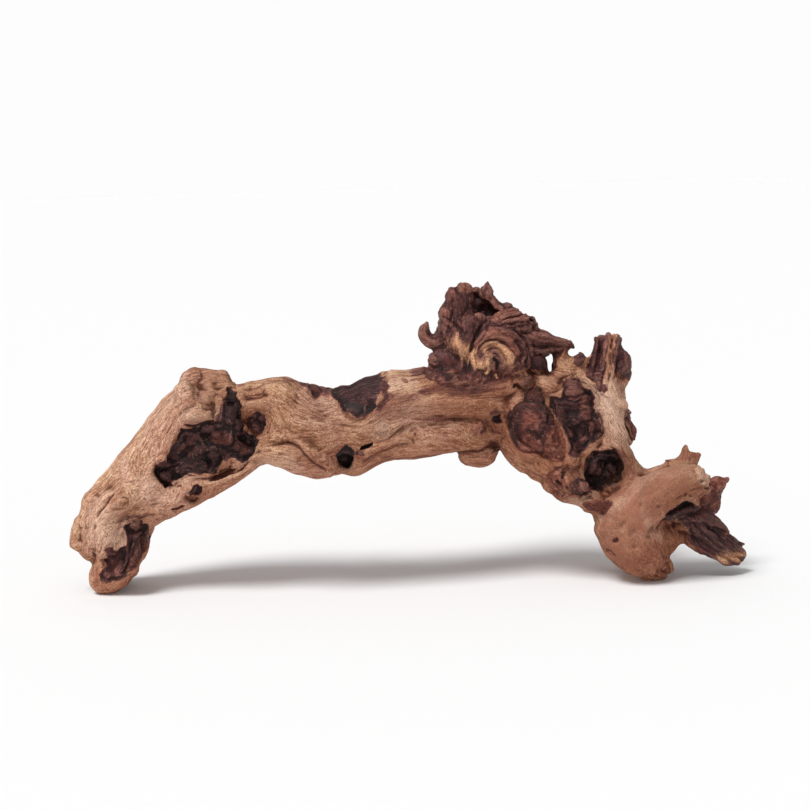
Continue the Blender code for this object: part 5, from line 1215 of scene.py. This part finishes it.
def flowed(points, facets, grain, along, aside, spots, front):
    """The grain places after the fibres are bent round the knots, and how near a knot each is."""
    across = np.cross(facets, along)
    across /= np.maximum(np.linalg.norm(across, axis=1), 1e-6)[:, None]
    third = np.cross(along, aside)
    moved = grain.copy()
    knot = np.zeros(len(points))
    for knots, share in ((KNOTS, front), (BACK_KNOTS, 1 - front)):
        for x, z, radius in knots:
            plane = spots if knots is KNOTS else points[:, [0, 2]]
            gap = plane - (x, z)
            near = (np.abs(gap) < 4 * radius).all(1) & (share > 0.5)
            if not near.any():
                continue
            away = np.linalg.norm(gap[near], axis=1)
            centre = points[near][away.argmin()]
            reach = points[near] - centre
            over = np.einsum("ij,ij->i", reach, across[near])
            run = np.einsum("ij,ij->i", reach, along[near])
            square = np.maximum(over * over + run * run, radius * radius * 0.6)
            fade = 1 - step_up(2.2 * radius, 4 * radius, np.sqrt(square))
            shift = -over * radius * radius / square * fade
            moved[near, 1] += shift * np.einsum("ij,ij->i", across[near], aside[near])
            moved[near, 2] += shift * np.einsum("ij,ij->i", across[near], third[near])
            knot[near] = np.maximum(knot[near], 1 - step_up(0.5, 1.5, np.sqrt(square) / radius))
    return moved, knot


def push_outline(mesh):
    """Moves stretches of the outline to where the eye sees them."""
    points = positions(mesh)
    spots = seen(points)
    move = np.zeros((len(points), 2))
    on_hook = 1 - step_up(*HOOK_END, points[:, 1])
    for pushes, reached in ((PUSHES, np.ones(len(points))), (HOOK_PUSHES, on_hook)):
        for x, z, radius, right, up in pushes:
            away = np.linalg.norm(spots - (x, z), axis=1) / radius
            share = (1 - step_up(0.15, 1.3, away)) * reached
            move += share[:, None] * (right, up)
    points[:, [0, 2]] += move
    place(mesh, points)


def within(plane, line, reach):
    """Which spots lie in the box around a line, or less than the reach outside it."""
    ends = np.array(line, float)
    return ((plane > ends.min(0) - reach) & (plane < ends.max(0) + reach)).all(1)


def stretched(grain, along, across):
    """Grain places with one unit to so many millimetres along and across the fibres."""
    return grain * np.array([1 / along, 1 / across, 1 / across])


def settled(mean, values, rounds):
    """The values after some rounds of averaging with their neighbours."""
    for _ in range(rounds):
        values = mean(values)
    return values


class Relief:
    """How far each point of a skin is raised, and its marks."""

    def __init__(self, mesh):
        """Where the skin's points are, how they are seen, and a start with no rise and no marks."""
        points, facets = positions(mesh), normals(mesh)
        self.mesh = mesh
        self.points, self.facets = points, facets
        self.spots = seen(points)
        self.plan = points[:, [0, 2]]
        self.front = facing(points, facets)
        grain, along, aside, self.meeting = grain_frame(points)
        self.grain, self.knot = flowed(points, facets, grain, along, aside, self.spots, self.front)
        self.wave = np.stack([noise(points / 6 + shift, 11) for shift in (0.0, 17.3, 41.9)], axis=1)
        ripple = np.stack([noise(points / 2, 5), noise(points / 2, 6)], axis=1)
        self.ragged = self.spots + 0.9 * self.wave[:, :2] + 0.4 * ripple
        self.rise = np.zeros(len(points))
        self.marks = {name: np.zeros(len(points)) for name in MARKS}

    def paint(self, paint, near, cover):
        """Turns marks towards the paint's values by a cover from 0 to 1."""
        for mark, value in paint.items():
            self.marks[mark][near] += cover * (value - self.marks[mark][near])

    def mark_least(self, mark, near, value):
        """Brings a mark up to a value where it is less."""
        self.marks[mark][near] = np.maximum(self.marks[mark][near], value)

    def sink_areas(self):
        """Sinks and paints what lies in the outlines."""
        behind = self.plan + 1.6 * self.wave[:, :2]
        for outlines, areas, plane, share in (
            (OUTLINES, AREAS, self.ragged, self.front), (BACK_OUTLINES, BACK_AREAS, behind, 1 - self.front),
        ):
            for name, area in areas.items():
                outline = np.array(outlines[name], float)
                near = within(plane, outline, REACH)
                near &= self.points[:, 1] > area.get("behind", -99)
                away = outline_distance(plane[near], outline)
                inside = share[near] * (1 - step_up(-0.6, 0.4, away))
                self.rise[near] -= area["deep"] * share[near] * (1 - step_up(-area["rim"], 0, away))
                self.paint({mark: area.get(mark, 0) for mark in MARKS}, near, inside)

    def cut_creases(self):
        """Cuts the slits and creases, and darkens them: partly the dark wood in them and partly painted
        shade.
        """
        for creases, plane, share in (
            (CREASES, self.spots, self.front), (BACK_CREASES, self.plan, 1 - self.front),
        ):
            for deep, wide, dark, line in creases.values():
                near = within(plane, line, REACH)
                away, along_it = line_distance(plane[near] + 0.5 * self.wave[near][:, :2], line)
                taper = np.sqrt(np.clip(4 * along_it * (1 - along_it) + 0.25, 0, 1))
                cut = np.exp(-(away / (wide * taper)) ** 2) * share[near]
                self.rise[near] -= deep * taper * cut
                self.mark_least("heart", near, cut * step_up(0.3, 0.8, dark))
                self.mark_least("red", near, cut * dark * 0.9)
                self.mark_least("dark", near, cut * step_up(0.3, 1, dark) * 0.9)

    def raise_folds(self):
        """Raises the broad ridges and sinks the valleys."""
        even = self.spots + 0.45 * self.wave[:, :2]
        for high, wide, line in FOLDS.values():
            near = within(even, line, 3 * wide)
            away, along_it = line_distance(even[near], line)
            taper = step_up(0, 0.2, along_it + 0.06) * step_up(0, 0.2, 1.06 - along_it)
            self.rise[near] += high * taper * np.exp(-(away / wide) ** 2) * self.front[near]

    def lay_stains(self):
        """Paints the soft stains."""
        threads = stretched(self.grain, 18, 2.4)
        fibrous = self.spots + np.stack([noise(threads, 91), noise(threads, 92)], axis=1) * 1.8
        for paint, wide, line in STAINS.values():
            near = within(fibrous, line, 2 * wide)
            away = line_distance(fibrous[near], line)[0]
            cover = np.exp(-(away / wide) ** 2) * self.front[near]
            for mark, value in paint.items():
                self.mark_least(mark, near, cover * value)

    def raise_lumps(self):
        """Raises the lumps, sinks the pits and paints both."""
        lift = np.zeros(len(self.points))
        pit = np.zeros(len(self.points))
        for high, wide, paint, line in LUMPS.values():
            near = within(self.ragged, line, wide + 1)
            reach = line_distance(self.ragged[near], line)[0] / wide
            dome = np.clip(1 - reach * reach, 0, 1) ** 0.8 * self.front[near] * abs(high)
            taken = lift if high > 0 else pit
            taken[near] = np.maximum(taken[near], dome)
            self.paint(paint, near, (1 - step_up(0.6, 1.15, reach)) * self.front[near])
        self.rise += lift - pit

    def roughen(self):
        """Adds the swell, streaks, hairs and cracks of sapwood, and the folds and crumbs of rot."""
        points, grain, wave, still = self.points, self.grain, self.wave, 1 - self.meeting
        heart, grey, gnarl = (self.marks[name] for name in ("heart", "grey", "gnarl"))
        sapwood = 1 - step_up(0.3, 0.8, heart)
        lively = (1 - 0.75 * grey) * still
        swell = layered(points / 15, 21, 2)
        streak = layered(stretched(grain, 26, 3.2), 31, 3)
        hair = layered(stretched(grain, 12, 1.5), 41, 2)
        crack = step_up(0.9, 0.99, ridged(stretched(grain, 34, 6), 51, 1)) * step_up(-0.3, 0.3, streak)
        self.rise += sapwood * (0.55 * swell + lively * (0.2 * streak + 0.1 * hair - 0.22 * crack))
        fibre = layered(stretched(grain, 9, 1.8), 61, 2) * still
        folds = (0.7 - ridged(stretched(grain, 15, 5) + 0.35 * wave, 71, 2)) * still
        crumbs = layered(points / 2.2 + 0.3 * wave, 81, 2)
        self.rise += sapwood * grey * 0.3 * layered(points / 4.5 + 0.5 * wave, 95, 2)
        self.rise += gnarl * (2 * folds + 0.35 * crumbs) + heart * 0.2 * fibre

    def apply(self):
        """Moves the skin's points, kept just above the floor."""
        raised = self.points + self.facets * self.rise[:, None]
        raised[:, 2] = np.maximum(raised[:, 2], LOWEST)
        place(self.mesh, raised)

    def store(self):
        """Stores the marks, and the places along the grain, for the materials."""
        marks = self.marks
        mean = neighbour_mean(self.mesh)
        points, facets = positions(self.mesh), normals(self.mesh)
        near = settled(mean, points, NEAR_ROUNDS)
        far = settled(mean, near, FAR_ROUNDS)
        # How far a point stands out from the shape close to it: creases are painted darker with it, as
        # painted shade, and crests lighter, partly bare wood and partly painted highlight.
        marks["crest"] = np.clip(np.einsum("ij,ij->i", points - near, facets) / 0.22, -2, 2)
        # How far the shape lies below the broader shape around it; the sapwood is painted darker in these
        # hollows, as painted shade.
        marks["hollow"] = np.clip(np.einsum("ij,ij->i", near - far, facets) / -0.8, -2, 2)
        calm = settled(mean, facets, CALM_ROUNDS)
        calm /= np.maximum(np.linalg.norm(calm, axis=1), 1e-6)[:, None]
        # How much the calm normal faces the painted light, for the painted shade on the sapwood.
        marks["upward"] = calm @ np.array(PAINTED_LIGHT_FROM)
        marks["knot"] = self.knot
        marks["meeting"] = self.meeting
        marks["halo"] = settled(mean, marks["heart"][:, None], HALO_ROUNDS)[:, 0]
        for name, values in marks.items():
            layer = self.mesh.attributes.new(name, "FLOAT", "POINT")
            layer.data.foreach_set("value", values.astype(np.float32))
        layer = self.mesh.attributes.new("grain", "FLOAT_VECTOR", "POINT")
        layer.data.foreach_set("vector", self.grain.astype(np.float32).ravel())


def shape_wood(mesh):
    """Raises, sinks and marks the skin's features."""
    relief = Relief(mesh)
    relief.sink_areas()
    relief.cut_creases()
    relief.raise_folds()
    relief.lay_stains()
    relief.raise_lumps()
    relief.roughen()
    relief.apply()
    relief.store()


def keep_facets(mesh):
    """Stores the skin's normals, so that the cuts at the forks don't show."""
    for name, kind, key, values in (
        ("facet", "FLOAT_VECTOR", "vector", normals(mesh)),
        ("whole", "FLOAT", "value", np.ones(len(mesh.vertices))),
    ):
        layer = mesh.attributes.new(name, kind, "POINT")
        layer.data.foreach_set(key, values.astype(np.float32).ravel())


def read_layer(mesh, name):
    """A point attribute's values, one row to a point."""
    layer = mesh.attributes[name]
    wide = 3 if layer.data_type == "FLOAT_VECTOR" else 1
    flat = np.empty(len(mesh.vertices) * wide, np.float32)
    layer.data.foreach_get("vector" if wide == 3 else "value", flat)
    return flat.reshape(-1, wide)


def mend_cut(mesh):
    """Gives the points of a fork's cut the values of the skin next to them, and its normals."""
    whole = read_layer(mesh, "whole")[:, 0] > 0.999
    ends = np.empty(len(mesh.edges) * 2, np.int32)
    mesh.edges.foreach_get("vertices", ends)
    ends = ends.reshape(-1, 2)
    ends = np.concatenate([ends, ends[:, ::-1]])
    known = whole.copy()
    for _ in range(CUT_ROWS):
        joins = ends[~known[ends[:, 0]] & known[ends[:, 1]]]
        share = np.bincount(joins[:, 0], minlength=len(whole))
        fresh = share > 0
        for layer in list(mesh.attributes):
            ours = layer.domain == "POINT" and layer.data_type in ("FLOAT", "FLOAT_VECTOR")
            if not ours or layer.name == "position":
                continue
            values = read_layer(mesh, layer.name)
            for column in range(values.shape[1]):
                total = np.bincount(joins[:, 0], values[joins[:, 1], column], len(whole))
                values[fresh, column] = total[fresh] / share[fresh]
            layer.data.foreach_set("vector" if values.shape[1] == 3 else "value", values.ravel())
        known |= fresh
    facets = read_layer(mesh, "facet").astype(float)
    facets /= np.maximum(np.linalg.norm(facets, axis=1), 1e-6)[:, None]
    count = len(mesh.loops)
    corner = np.empty(count, np.int32)
    mesh.loops.foreach_get("vertex_index", corner)
    starts = np.empty(len(mesh.polygons), np.int32)
    sizes = np.empty(len(mesh.polygons), np.int32)
    flat = np.empty(len(mesh.polygons) * 3, np.float32)
    mesh.polygons.foreach_get("loop_start", starts)
    mesh.polygons.foreach_get("loop_total", sizes)
    mesh.polygons.foreach_get("normal", flat)
    owner = np.repeat(np.arange(len(sizes)), sizes)
    skin = np.bincount(owner, whole[corner], len(sizes)) > 0
    chosen = np.where(skin[owner][:, None], facets[corner], flat.reshape(-1, 3)[owner])
    mesh.polygons.foreach_set("use_smooth", np.ones(len(mesh.polygons), bool))
    mesh.normals_split_custom_set(chosen)
    for name in ("facet", "whole"):
        mesh.attributes.remove(mesh.attributes[name])


def prism(outline):
    """A block of an (x, z) outline, through the wood from front to back."""
    count = len(outline)
    points = np.array([(x, y, z) for y in (-CUTTER_DEPTH, CUTTER_DEPTH) for x, z in outline], float)
    faces = [tuple(range(count)), tuple(range(2 * count - 1, count - 1, -1))]
    for corner in range(count):
        nxt = (corner + 1) % count
        faces.append((nxt, corner, corner + count, nxt + count))
    made = mesh_object("fork cutter", points, faces)
    bpy.context.view_layer.update()
    edit = bmesh.new()
    edit.from_mesh(made.data)
    bmesh.ops.recalc_face_normals(edit, faces=edit.faces)
    edit.to_mesh(made.data)
    edit.free()
    return made


def cut(obj, cutter, operation):
    """Cuts the object with the cutter."""
    boolean = obj.modifiers.new("fork", "BOOLEAN")
    boolean.object = cutter
    boolean.operation = operation
    boolean.solver = "MANIFOLD"
    return apply_modifiers(obj)


def parted(wood):
    """The skin parted at the forks, as closed pieces by name."""
    pieces = {}
    for name, outline in FORKS.items():
        piece = wood.copy()
        piece.data = wood.data.copy()
        bpy.context.scene.collection.objects.link(piece)
        cutter = prism(outline)
        pieces[name] = cut(piece, cutter, "INTERSECT")
        wood = cut(wood, cutter, "DIFFERENCE")
        bpy.data.objects.remove(cutter)
    pieces["right_leg"] = wood
    for name, piece in pieces.items():
        piece.name = name + ".wood"
        piece.data.name = name + ".wood"
        mend_cut(piece.data)
    return pieces


def linear(colour):
    """A linear colour from sRGB values of 0 to 255."""
    return tuple(
        (value / 255 / 12.92) if value < 10 else ((value / 255 + 0.055) / 1.055) ** 2.4 for value in colour
    )


class Look:
    """A material's nodes."""

    def __init__(self, name):
        self.material = bpy.data.materials.new(name)
        self.material.use_nodes = True
        self.tree = self.material.node_tree
        self.shader = self.tree.nodes["Principled BSDF"]

    def put(self, kind, sockets=(), **settings):
        """A node with its settings, and its inputs as values or as other nodes' outputs."""
        node = self.tree.nodes.new(kind)
        for key, value in settings.items():
            setattr(node, key, value)
        for key, value in dict(sockets).items():
            self.fill(node.inputs[key], value)
        return node

    def fill(self, socket, value):
        """Sets an input to a value, or joins it to an output."""
        if isinstance(value, bpy.types.NodeSocket):
            self.tree.links.new(value, socket)
        elif isinstance(value, (tuple, list)) and socket.type == "RGBA" and len(value) == 3:
            socket.default_value = (*value, 1)
        else:
            socket.default_value = value

    def mark(self, name):
        """A value that the skin stores."""
        return self.put("ShaderNodeAttribute", attribute_name=name).outputs["Fac"]

    def sum(self, kind, first, second=0.5, third=0.5, clamp=False):
        """One step of arithmetic."""
        node = self.put("ShaderNodeMath", {0: first, 1: second, 2: third}, operation=kind, use_clamp=clamp)
        return node.outputs[0]

    def scaled(self, vector, scale):
        """The vector times a scale for each axis."""
        return self.put("ShaderNodeVectorMath", {0: vector, 1: scale}, operation="MULTIPLY").outputs[0]

    def noise(self, vector, scale=1.0, detail=3.0, rough=0.55, bend=0.0):
        """Noise, from 0 to 1 with its middle at 0.5."""
        node = self.put("ShaderNodeTexNoise", {
            "Vector": vector, "Scale": scale, "Detail": detail, "Roughness": rough, "Distortion": bend,
        })
        return node.outputs["Fac"]

    def span(self, value, low, high, start=0.0, stop=1.0):
        """The value mapped from low and high to start and stop, held between them."""
        return self.put("ShaderNodeMapRange", {
            "Value": value, "From Min": low, "From Max": high, "To Min": start, "To Max": stop,
        }, interpolation_type="SMOOTHSTEP").outputs["Result"]

    def fibrous(self, grain, along, across, **settings):
        """Noise with one wave to so many millimetres along and across the fibres."""
        return self.noise(self.scaled(grain, (1 / along, 1 / across, 1 / across)), **settings)

    def ramp(self, value, stops):
        """A colour ramp of (place, sRGB colour from 0 to 255) stops."""
        node = self.put("ShaderNodeValToRGB", {"Fac": value})
        elements = node.color_ramp.elements
        while len(elements) < len(stops):
            elements.new(0.5)
        for element, (place, colour) in zip(elements, stops):
            element.position = place
            element.color = (*linear(colour), 1)
        return node.outputs["Color"]

    def blend(self, share, first, second, kind="MIX"):
        """The second colour over the first by a share."""
        node = self.put("ShaderNodeMix", data_type="RGBA", blend_type=kind)
        for index, value in ((0, share), (6, first), (7, second)):
            self.fill(node.inputs[index], value)
        return node.outputs[2]

    def tint(self, share, base, colour, kind="MIX"):
        """An sRGB colour from 0 to 255 over the base by a share."""
        return self.blend(share, base, linear(colour), kind)


# Colour ramps, as (place, sRGB colour) stops: weatherworn sapwood, dark heartwood, rusty heartwood,
# the tan sound wood in it, and red-brown stain on sapwood.
SAP_RAMP = [
    (0.4, (118, 72, 52)), (0.5, (166, 116, 90)), (0.58, (200, 155, 127)), (0.66, (221, 182, 153)),
    (0.78, (238, 208, 184)),
]
DARK_RAMP = [
    (0.1, (16, 8, 8)), (0.24, (44, 22, 22)), (0.36, (78, 43, 42)), (0.48, (108, 66, 61)),
    (0.64, (148, 98, 86)),
]
RUST_RAMP = [(0.12, (40, 16, 12)), (0.3, (84, 38, 29)), (0.46, (128, 68, 50)), (0.62, (176, 108, 80))]
TAN_RAMP = [(0.42, (128, 76, 52)), (0.52, (178, 120, 86)), (0.6, (206, 150, 112)), (0.74, (230, 184, 146))]
STAIN_RAMP = [(0.42, (86, 43, 31)), (0.54, (132, 78, 57)), (0.7, (178, 120, 93))]


def wood_noises(look, mark):
    """The noises that the wood's colours share; those along the fibres rest where fibres meet."""
    grain = look.put("ShaderNodeAttribute", attribute_name="grain").outputs["Vector"]
    spot = look.scaled(look.put("ShaderNodeTexCoord").outputs["Object"], (1 / MM, 1 / MM, 1 / MM))
    still = look.sum("SUBTRACT", 1, mark["meeting"])
    along = {
        "broad": look.fibrous(grain, 55, 7, detail=3, bend=0.3),
        "streak": look.fibrous(grain, 22, 2, detail=4, rough=0.6),
        "thread": look.fibrous(grain, 8, 1.1, detail=3, rough=0.65),
        "hair": look.fibrous(grain, 6, 0.6, detail=2, rough=0.6),
        "dash": look.fibrous(grain, 5, 0.95, detail=1),
        "fleck": look.fibrous(grain, 4.6, 1.5, detail=2, bend=0.8),
    }
    along = {
        name: look.sum("MULTIPLY_ADD", look.sum("SUBTRACT", value, 0.5), still, 0.5)
        for name, value in along.items()
    }
    return SimpleNamespace(
        grain=grain,
        still=still,
        mottle=look.noise(spot, 1 / 20, detail=4, rough=0.6),
        grit=look.noise(spot, 1 / 1.1, detail=3, rough=0.7),
        blotch=look.noise(spot, 1 / 6, detail=3, rough=0.6),
        warm=look.noise(spot, 1 / 30, detail=2),
        speck=look.noise(spot, 1 / 0.9, detail=1),
        dust=look.noise(spot, 1 / 0.8, detail=2, rough=0.6),
        smear=look.noise(spot, 1 / 7, detail=3, rough=0.6, bend=0.6),
        **along,
    )


def shade_and_tone(look, mark, at):
    """The sapwood's tint: painted shade, darker and redder on the sides turned from the painted light, and
    darker where the shade stains say so.
    """
    # Painted shade: darker and redder on the sides turned away from the painted light.
    shade_tint = look.blend(look.span(mark["upward"], -0.4, 0.8), (0.86, 0.72, 0.68), (1.0, 1.0, 1.0))
    # Darker where the shade stains are, partly painted shade and partly the wood's own tone.
    shaded = look.sum("MULTIPLY", mark["shade"], look.span(at.mottle, 0.3, 0.7, 1.1, 0.7))
    shade_tint = look.blend(shaded, shade_tint, (0.57, 0.47, 0.44), "MULTIPLY")
    drift = look.blend(look.span(at.warm, 0.38, 0.62), (1, 0.99, 0.9), (1, 0.98, 1.02))
    return look.blend(1.0, shade_tint, drift, "MULTIPLY")


def fibre_tone(look, mark, at, calm):
    """How light the fibres are, calmed to an even tone where the wood is smooth."""
    tone = look.sum("MULTIPLY_ADD", at.hair, 0.2, look.sum("MULTIPLY", mark["crest"], 0.02))
    for value, weight in (
        (at.mottle, 0.2), (at.broad, 0.2), (at.streak, 0.36), (at.grit, 0.2), (at.thread, 0.42),
    ):
        tone = look.sum("MULTIPLY_ADD", value, weight, tone)
    tone = look.sum("SUBTRACT", tone, 0.2)
    return look.sum("MULTIPLY_ADD", look.sum("SUBTRACT", 0.59, tone), calm, tone)


def sap_colour(look, mark, at, tone, calm):
    """Sapwood: a ramp of tones with lines, flecks, specks, a tint of painted shade and tone, and smears over
    it, with painted shade in broad hollows.
    """
    shade_tint = shade_and_tone(look, mark, at)
    grey = mark["grey"]
    plain = look.sum("MULTIPLY", look.sum("SUBTRACT", 1, calm), at.still)
    line = look.fibrous(at.grain, 40, 2.6, detail=3, rough=0.5, bend=0.4)
    line = look.span(look.sum("ABSOLUTE", look.sum("SUBTRACT", line, 0.5)), 0.0, 0.022, 1, 0)
    line = look.sum("MULTIPLY", line, look.span(at.broad, 0.42, 0.62, 0.45, 0.05))
    fleck = look.sum("MULTIPLY", look.span(at.fleck, 0.56, 0.65, 0, 0.6), plain)
    dash = look.sum("MULTIPLY", look.span(at.dash, 0.57, 0.67, 0, 0.68), plain)
    smooth = look.blend(1.0, linear((200, 158, 136)), shade_tint, "MULTIPLY")
    sap = look.ramp(tone, SAP_RAMP)
    sap = look.tint(look.sum("MULTIPLY", line, plain), sap, (116, 70, 50))
    sap = look.tint(fleck, sap, (132, 84, 62))
    sap = look.tint(look.span(at.speck, 0.6, 0.7, 0, 0.6), sap, (126, 78, 56))
    sap = look.tint(look.span(at.thread, 0.6, 0.72, 0, 0.4), sap, (240, 214, 190))
    sap = look.blend(1.0, sap, shade_tint, "MULTIPLY")
    sap = look.blend(look.span(grey, 0, 1, 0, 0.6), sap, smooth)
    sap = look.tint(look.sum("MULTIPLY", look.span(at.smear, 0.48, 0.62, 0, 0.62), grey), sap, (146, 94, 74))
    sap = look.tint(look.sum("MULTIPLY", look.span(at.smear, 0.34, 0.46, 0.1, 0), grey), sap, (222, 182, 158))
    sap = look.tint(look.span(mark["halo"], 0.04, 0.7, 0, 0.45), sap, (192, 148, 126), "MULTIPLY")
    sap = look.tint(look.span(at.mottle, 0.54, 0.72, 0, 0.35), sap, (164, 110, 82))
    sap = look.tint(look.span(mark["knot"], 0, 1, 0, 0.3), sap, (140, 88, 66))
    sap = look.tint(look.sum("MULTIPLY", mark["pale"], 0.5), sap, (240, 205, 180))
    sap = look.tint(dash, sap, (112, 66, 46))
    sap = look.blend(1.0, sap, look.span(at.dust, 0.34, 0.66, 0.72, 1.22), "MULTIPLY")
    # Painted shade: the sapwood darker in broad hollows.
    return look.tint(look.span(mark["hollow"], 0.2, 1.8, 0, 0.7), sap, (172, 116, 92), "MULTIPLY")


def core_colour(look, mark, at, tone):
    """Heartwood: dark to rusty with lighter crests, partly bare wood and partly painted highlight, or sound
    and tan.
    """
    dark = mark["dark"]
    lump = look.sum("MULTIPLY_ADD", at.thread, 0.4, look.sum("MULTIPLY", mark["crest"], 0.03))
    for value, weight in ((at.streak, 0.3), (at.hair, 0.2), (at.blotch, 0.4)):
        lump = look.sum("MULTIPLY_ADD", value, weight, lump)
    lump = look.sum("MULTIPLY", look.sum("SUBTRACT", lump, 0.65), look.sum("MULTIPLY_ADD", dark, -0.5, 1.1))
    lump = look.sum("SUBTRACT", look.sum("ADD", lump, 0.5), look.sum("MULTIPLY_ADD", dark, 0.33, 0.02))
    rusty = look.sum("ADD", mark["red"], look.sum("MULTIPLY_ADD", at.warm, 1.2, -0.6))
    # Crests lighter: partly bare wood and partly painted highlight.
    bare_and_lit = look.span(mark["crest"], 0.3, 1.6, 0, 0.45)
    bare_and_lit = look.sum("MULTIPLY", bare_and_lit, look.span(at.thread, 0.4, 0.6, 0.2, 1))
    bare_and_lit = look.sum("MULTIPLY", bare_and_lit, look.span(dark, 0.3, 0.7, 1, 0.12))
    core = look.blend(look.span(rusty, 0, 1, 0, 0.75), look.ramp(lump, DARK_RAMP), look.ramp(lump, RUST_RAMP))
    core = look.tint(bare_and_lit, core, (160, 114, 96))
    core = look.tint(look.span(at.dash, 0.62, 0.7, 0, 0.28), core, (168, 124, 110))
    core = look.blend(look.span(mark["tan"], 0, 1, 0, 0.92), core, look.ramp(tone, TAN_RAMP))
    return look.blend(1.0, core, look.span(at.dust, 0.34, 0.66, 0.62, 1.36), "MULTIPLY")


def wood_material(name):
    """Sapwood and heartwood, mixed by what the skin stores."""
    look = Look(name)
    mark = {key: look.mark(key) for key in (*MARKS, "crest", "halo", "knot", "hollow", "upward", "meeting")}
    at = wood_noises(look, mark)
    calm = look.sum("MULTIPLY", mark["grey"], 0.75)
    tone = fibre_tone(look, mark, at, calm)
    heart, red = mark["heart"], mark["red"]

    edge = look.sum("ADD", heart, look.sum("MULTIPLY_ADD", at.thread, 0.8, -0.4))
    sap = sap_colour(look, mark, at, tone, calm)
    core = core_colour(look, mark, at, tone)
    colour = look.blend(look.span(edge, 0.36, 0.58), sap, core)
    stained = look.sum("MULTIPLY", red, look.sum("SUBTRACT", 1, heart, clamp=True))
    colour = look.blend(look.sum("MULTIPLY", stained, 0.75), colour, look.ramp(tone, STAIN_RAMP))
    # Painted shade: darker in the creases, less so in heartwood.
    groove = look.span(mark["crest"], -1.8, 0.1, 0.75, 0)
    groove = look.sum("MULTIPLY", groove, look.sum("MULTIPLY_ADD", heart, -0.4, 1))
    look.fill(look.shader.inputs["Base Color"], look.tint(groove, colour, (90, 54, 44), "MULTIPLY"))

    wax = look.span(look.sum("ADD", heart, look.sum("MULTIPLY", at.grit, 0.3)), 0.5, 1.2, 0.85, 0.55)
    look.fill(look.shader.inputs["Roughness"], wax)
    look.shader.inputs["Specular IOR Level"].default_value = 0.2

    height = look.sum("MULTIPLY", at.thread, 0.9)
    height = look.sum("MULTIPLY_ADD", at.grit, look.span(mark["gnarl"], 0, 1, 0.3, 0.8), height)
    height = look.sum("MULTIPLY_ADD", at.dash, -0.3, height)
    height = look.sum("MULTIPLY_ADD", at.hair, 0.5, height)
    bump = look.put("ShaderNodeBump", {"Strength": 0.9, "Distance": 0.0007, "Height": height})
    look.fill(look.shader.inputs["Normal"], bump.outputs["Normal"])
    return look.material


def add_floor():
    """A pale floor."""
    corners = [(-FLOOR_REACH, -FLOOR_REACH), (FLOOR_REACH, -FLOOR_REACH)]
    corners += [(-x, -y) for x, y in corners]
    floor = mesh_object("floor", np.array([(x, y, 0.0) for x, y in corners]), [(0, 1, 2, 3)])
    look = Look("pale floor")
    look.shader.inputs["Base Color"].default_value = (FLOOR_TONE, FLOOR_TONE, FLOOR_TONE, 1)
    look.shader.inputs["Roughness"].default_value = 0.9
    floor.data.materials.append(look.material)


def add_light():
    """Even soft light from all round, and a soft key light from the upper left front."""
    world = bpy.data.worlds.new("studio")
    bpy.context.scene.world = world
    world.use_nodes = True
    tree = world.node_tree
    way = tree.nodes.new("ShaderNodeTexCoord")
    parts = tree.nodes.new("ShaderNodeSeparateXYZ")
    tree.links.new(way.outputs["Generated"], parts.inputs[0])
    ramp = tree.nodes.new("ShaderNodeMapRange")
    for key, value in zip(("From Min", "From Max", "To Min", "To Max"), (*SKY_HEIGHTS, HORIZON, OVERHEAD)):
        ramp.inputs[key].default_value = value
    tree.links.new(parts.outputs["Z"], ramp.inputs["Value"])
    background = tree.nodes["Background"]
    background.inputs["Color"].default_value = (1, 1, 1, 1)
    tree.links.new(ramp.outputs["Result"], background.inputs["Strength"])

    lamp = bpy.data.lights.new("key light", "SUN")
    lamp.energy = KEY * math.pi
    lamp.angle = math.radians(KEY_ANGLE)
    key_light = bpy.data.objects.new("key light", lamp)
    bpy.context.scene.collection.objects.link(key_light)
    key_light.rotation_euler = Vector(KEY_FROM).to_track_quat("Z", "Y").to_euler()


def add_camera():
    """A camera where the eye is, moved with the root's origin."""
    eye, forward, right, up = eye_axes()
    data = bpy.data.cameras.new("camera")
    data.lens = LENS
    data.sensor_width = SENSOR
    data.clip_start = CLIP_START
    camera = bpy.data.objects.new("camera", data)
    bpy.context.scene.collection.objects.link(camera)
    turn = Matrix((right, up, -forward)).transposed().to_4x4()
    camera.matrix_world = Matrix.Translation(Vector((eye + ROOT) * MM)) @ turn
    bpy.context.scene.camera = camera


def make_skin():
    """The fine skin over all of the frame's solids, shaped and marked."""
    wood = voxel_skin(joined_solids(), FIRST_VOXEL)
    worn(wood.data, FIRST_WEAR)
    wood = voxel_skin(with_twigs(wood), FINE_VOXEL)
    worn(wood.data, FINE_WEAR)
    push_outline(wood.data)
    shape_wood(wood.data)
    keep_facets(wood.data)
    return wood


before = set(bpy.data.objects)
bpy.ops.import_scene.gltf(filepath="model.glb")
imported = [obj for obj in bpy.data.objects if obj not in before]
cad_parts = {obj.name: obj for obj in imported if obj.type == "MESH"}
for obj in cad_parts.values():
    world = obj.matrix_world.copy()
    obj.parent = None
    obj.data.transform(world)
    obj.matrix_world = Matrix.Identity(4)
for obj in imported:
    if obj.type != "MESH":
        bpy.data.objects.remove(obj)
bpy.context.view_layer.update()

for name, piece in parted(make_skin()).items():
    piece.data.materials.clear()
    piece.data.materials.append(wood_material(name + " wood"))
    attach(piece, "root")
    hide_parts("main_limb" if name == "left_limb" else name)
add_floor()
add_light()
add_camera()
bpy.context.scene.view_settings.view_transform = "Standard"
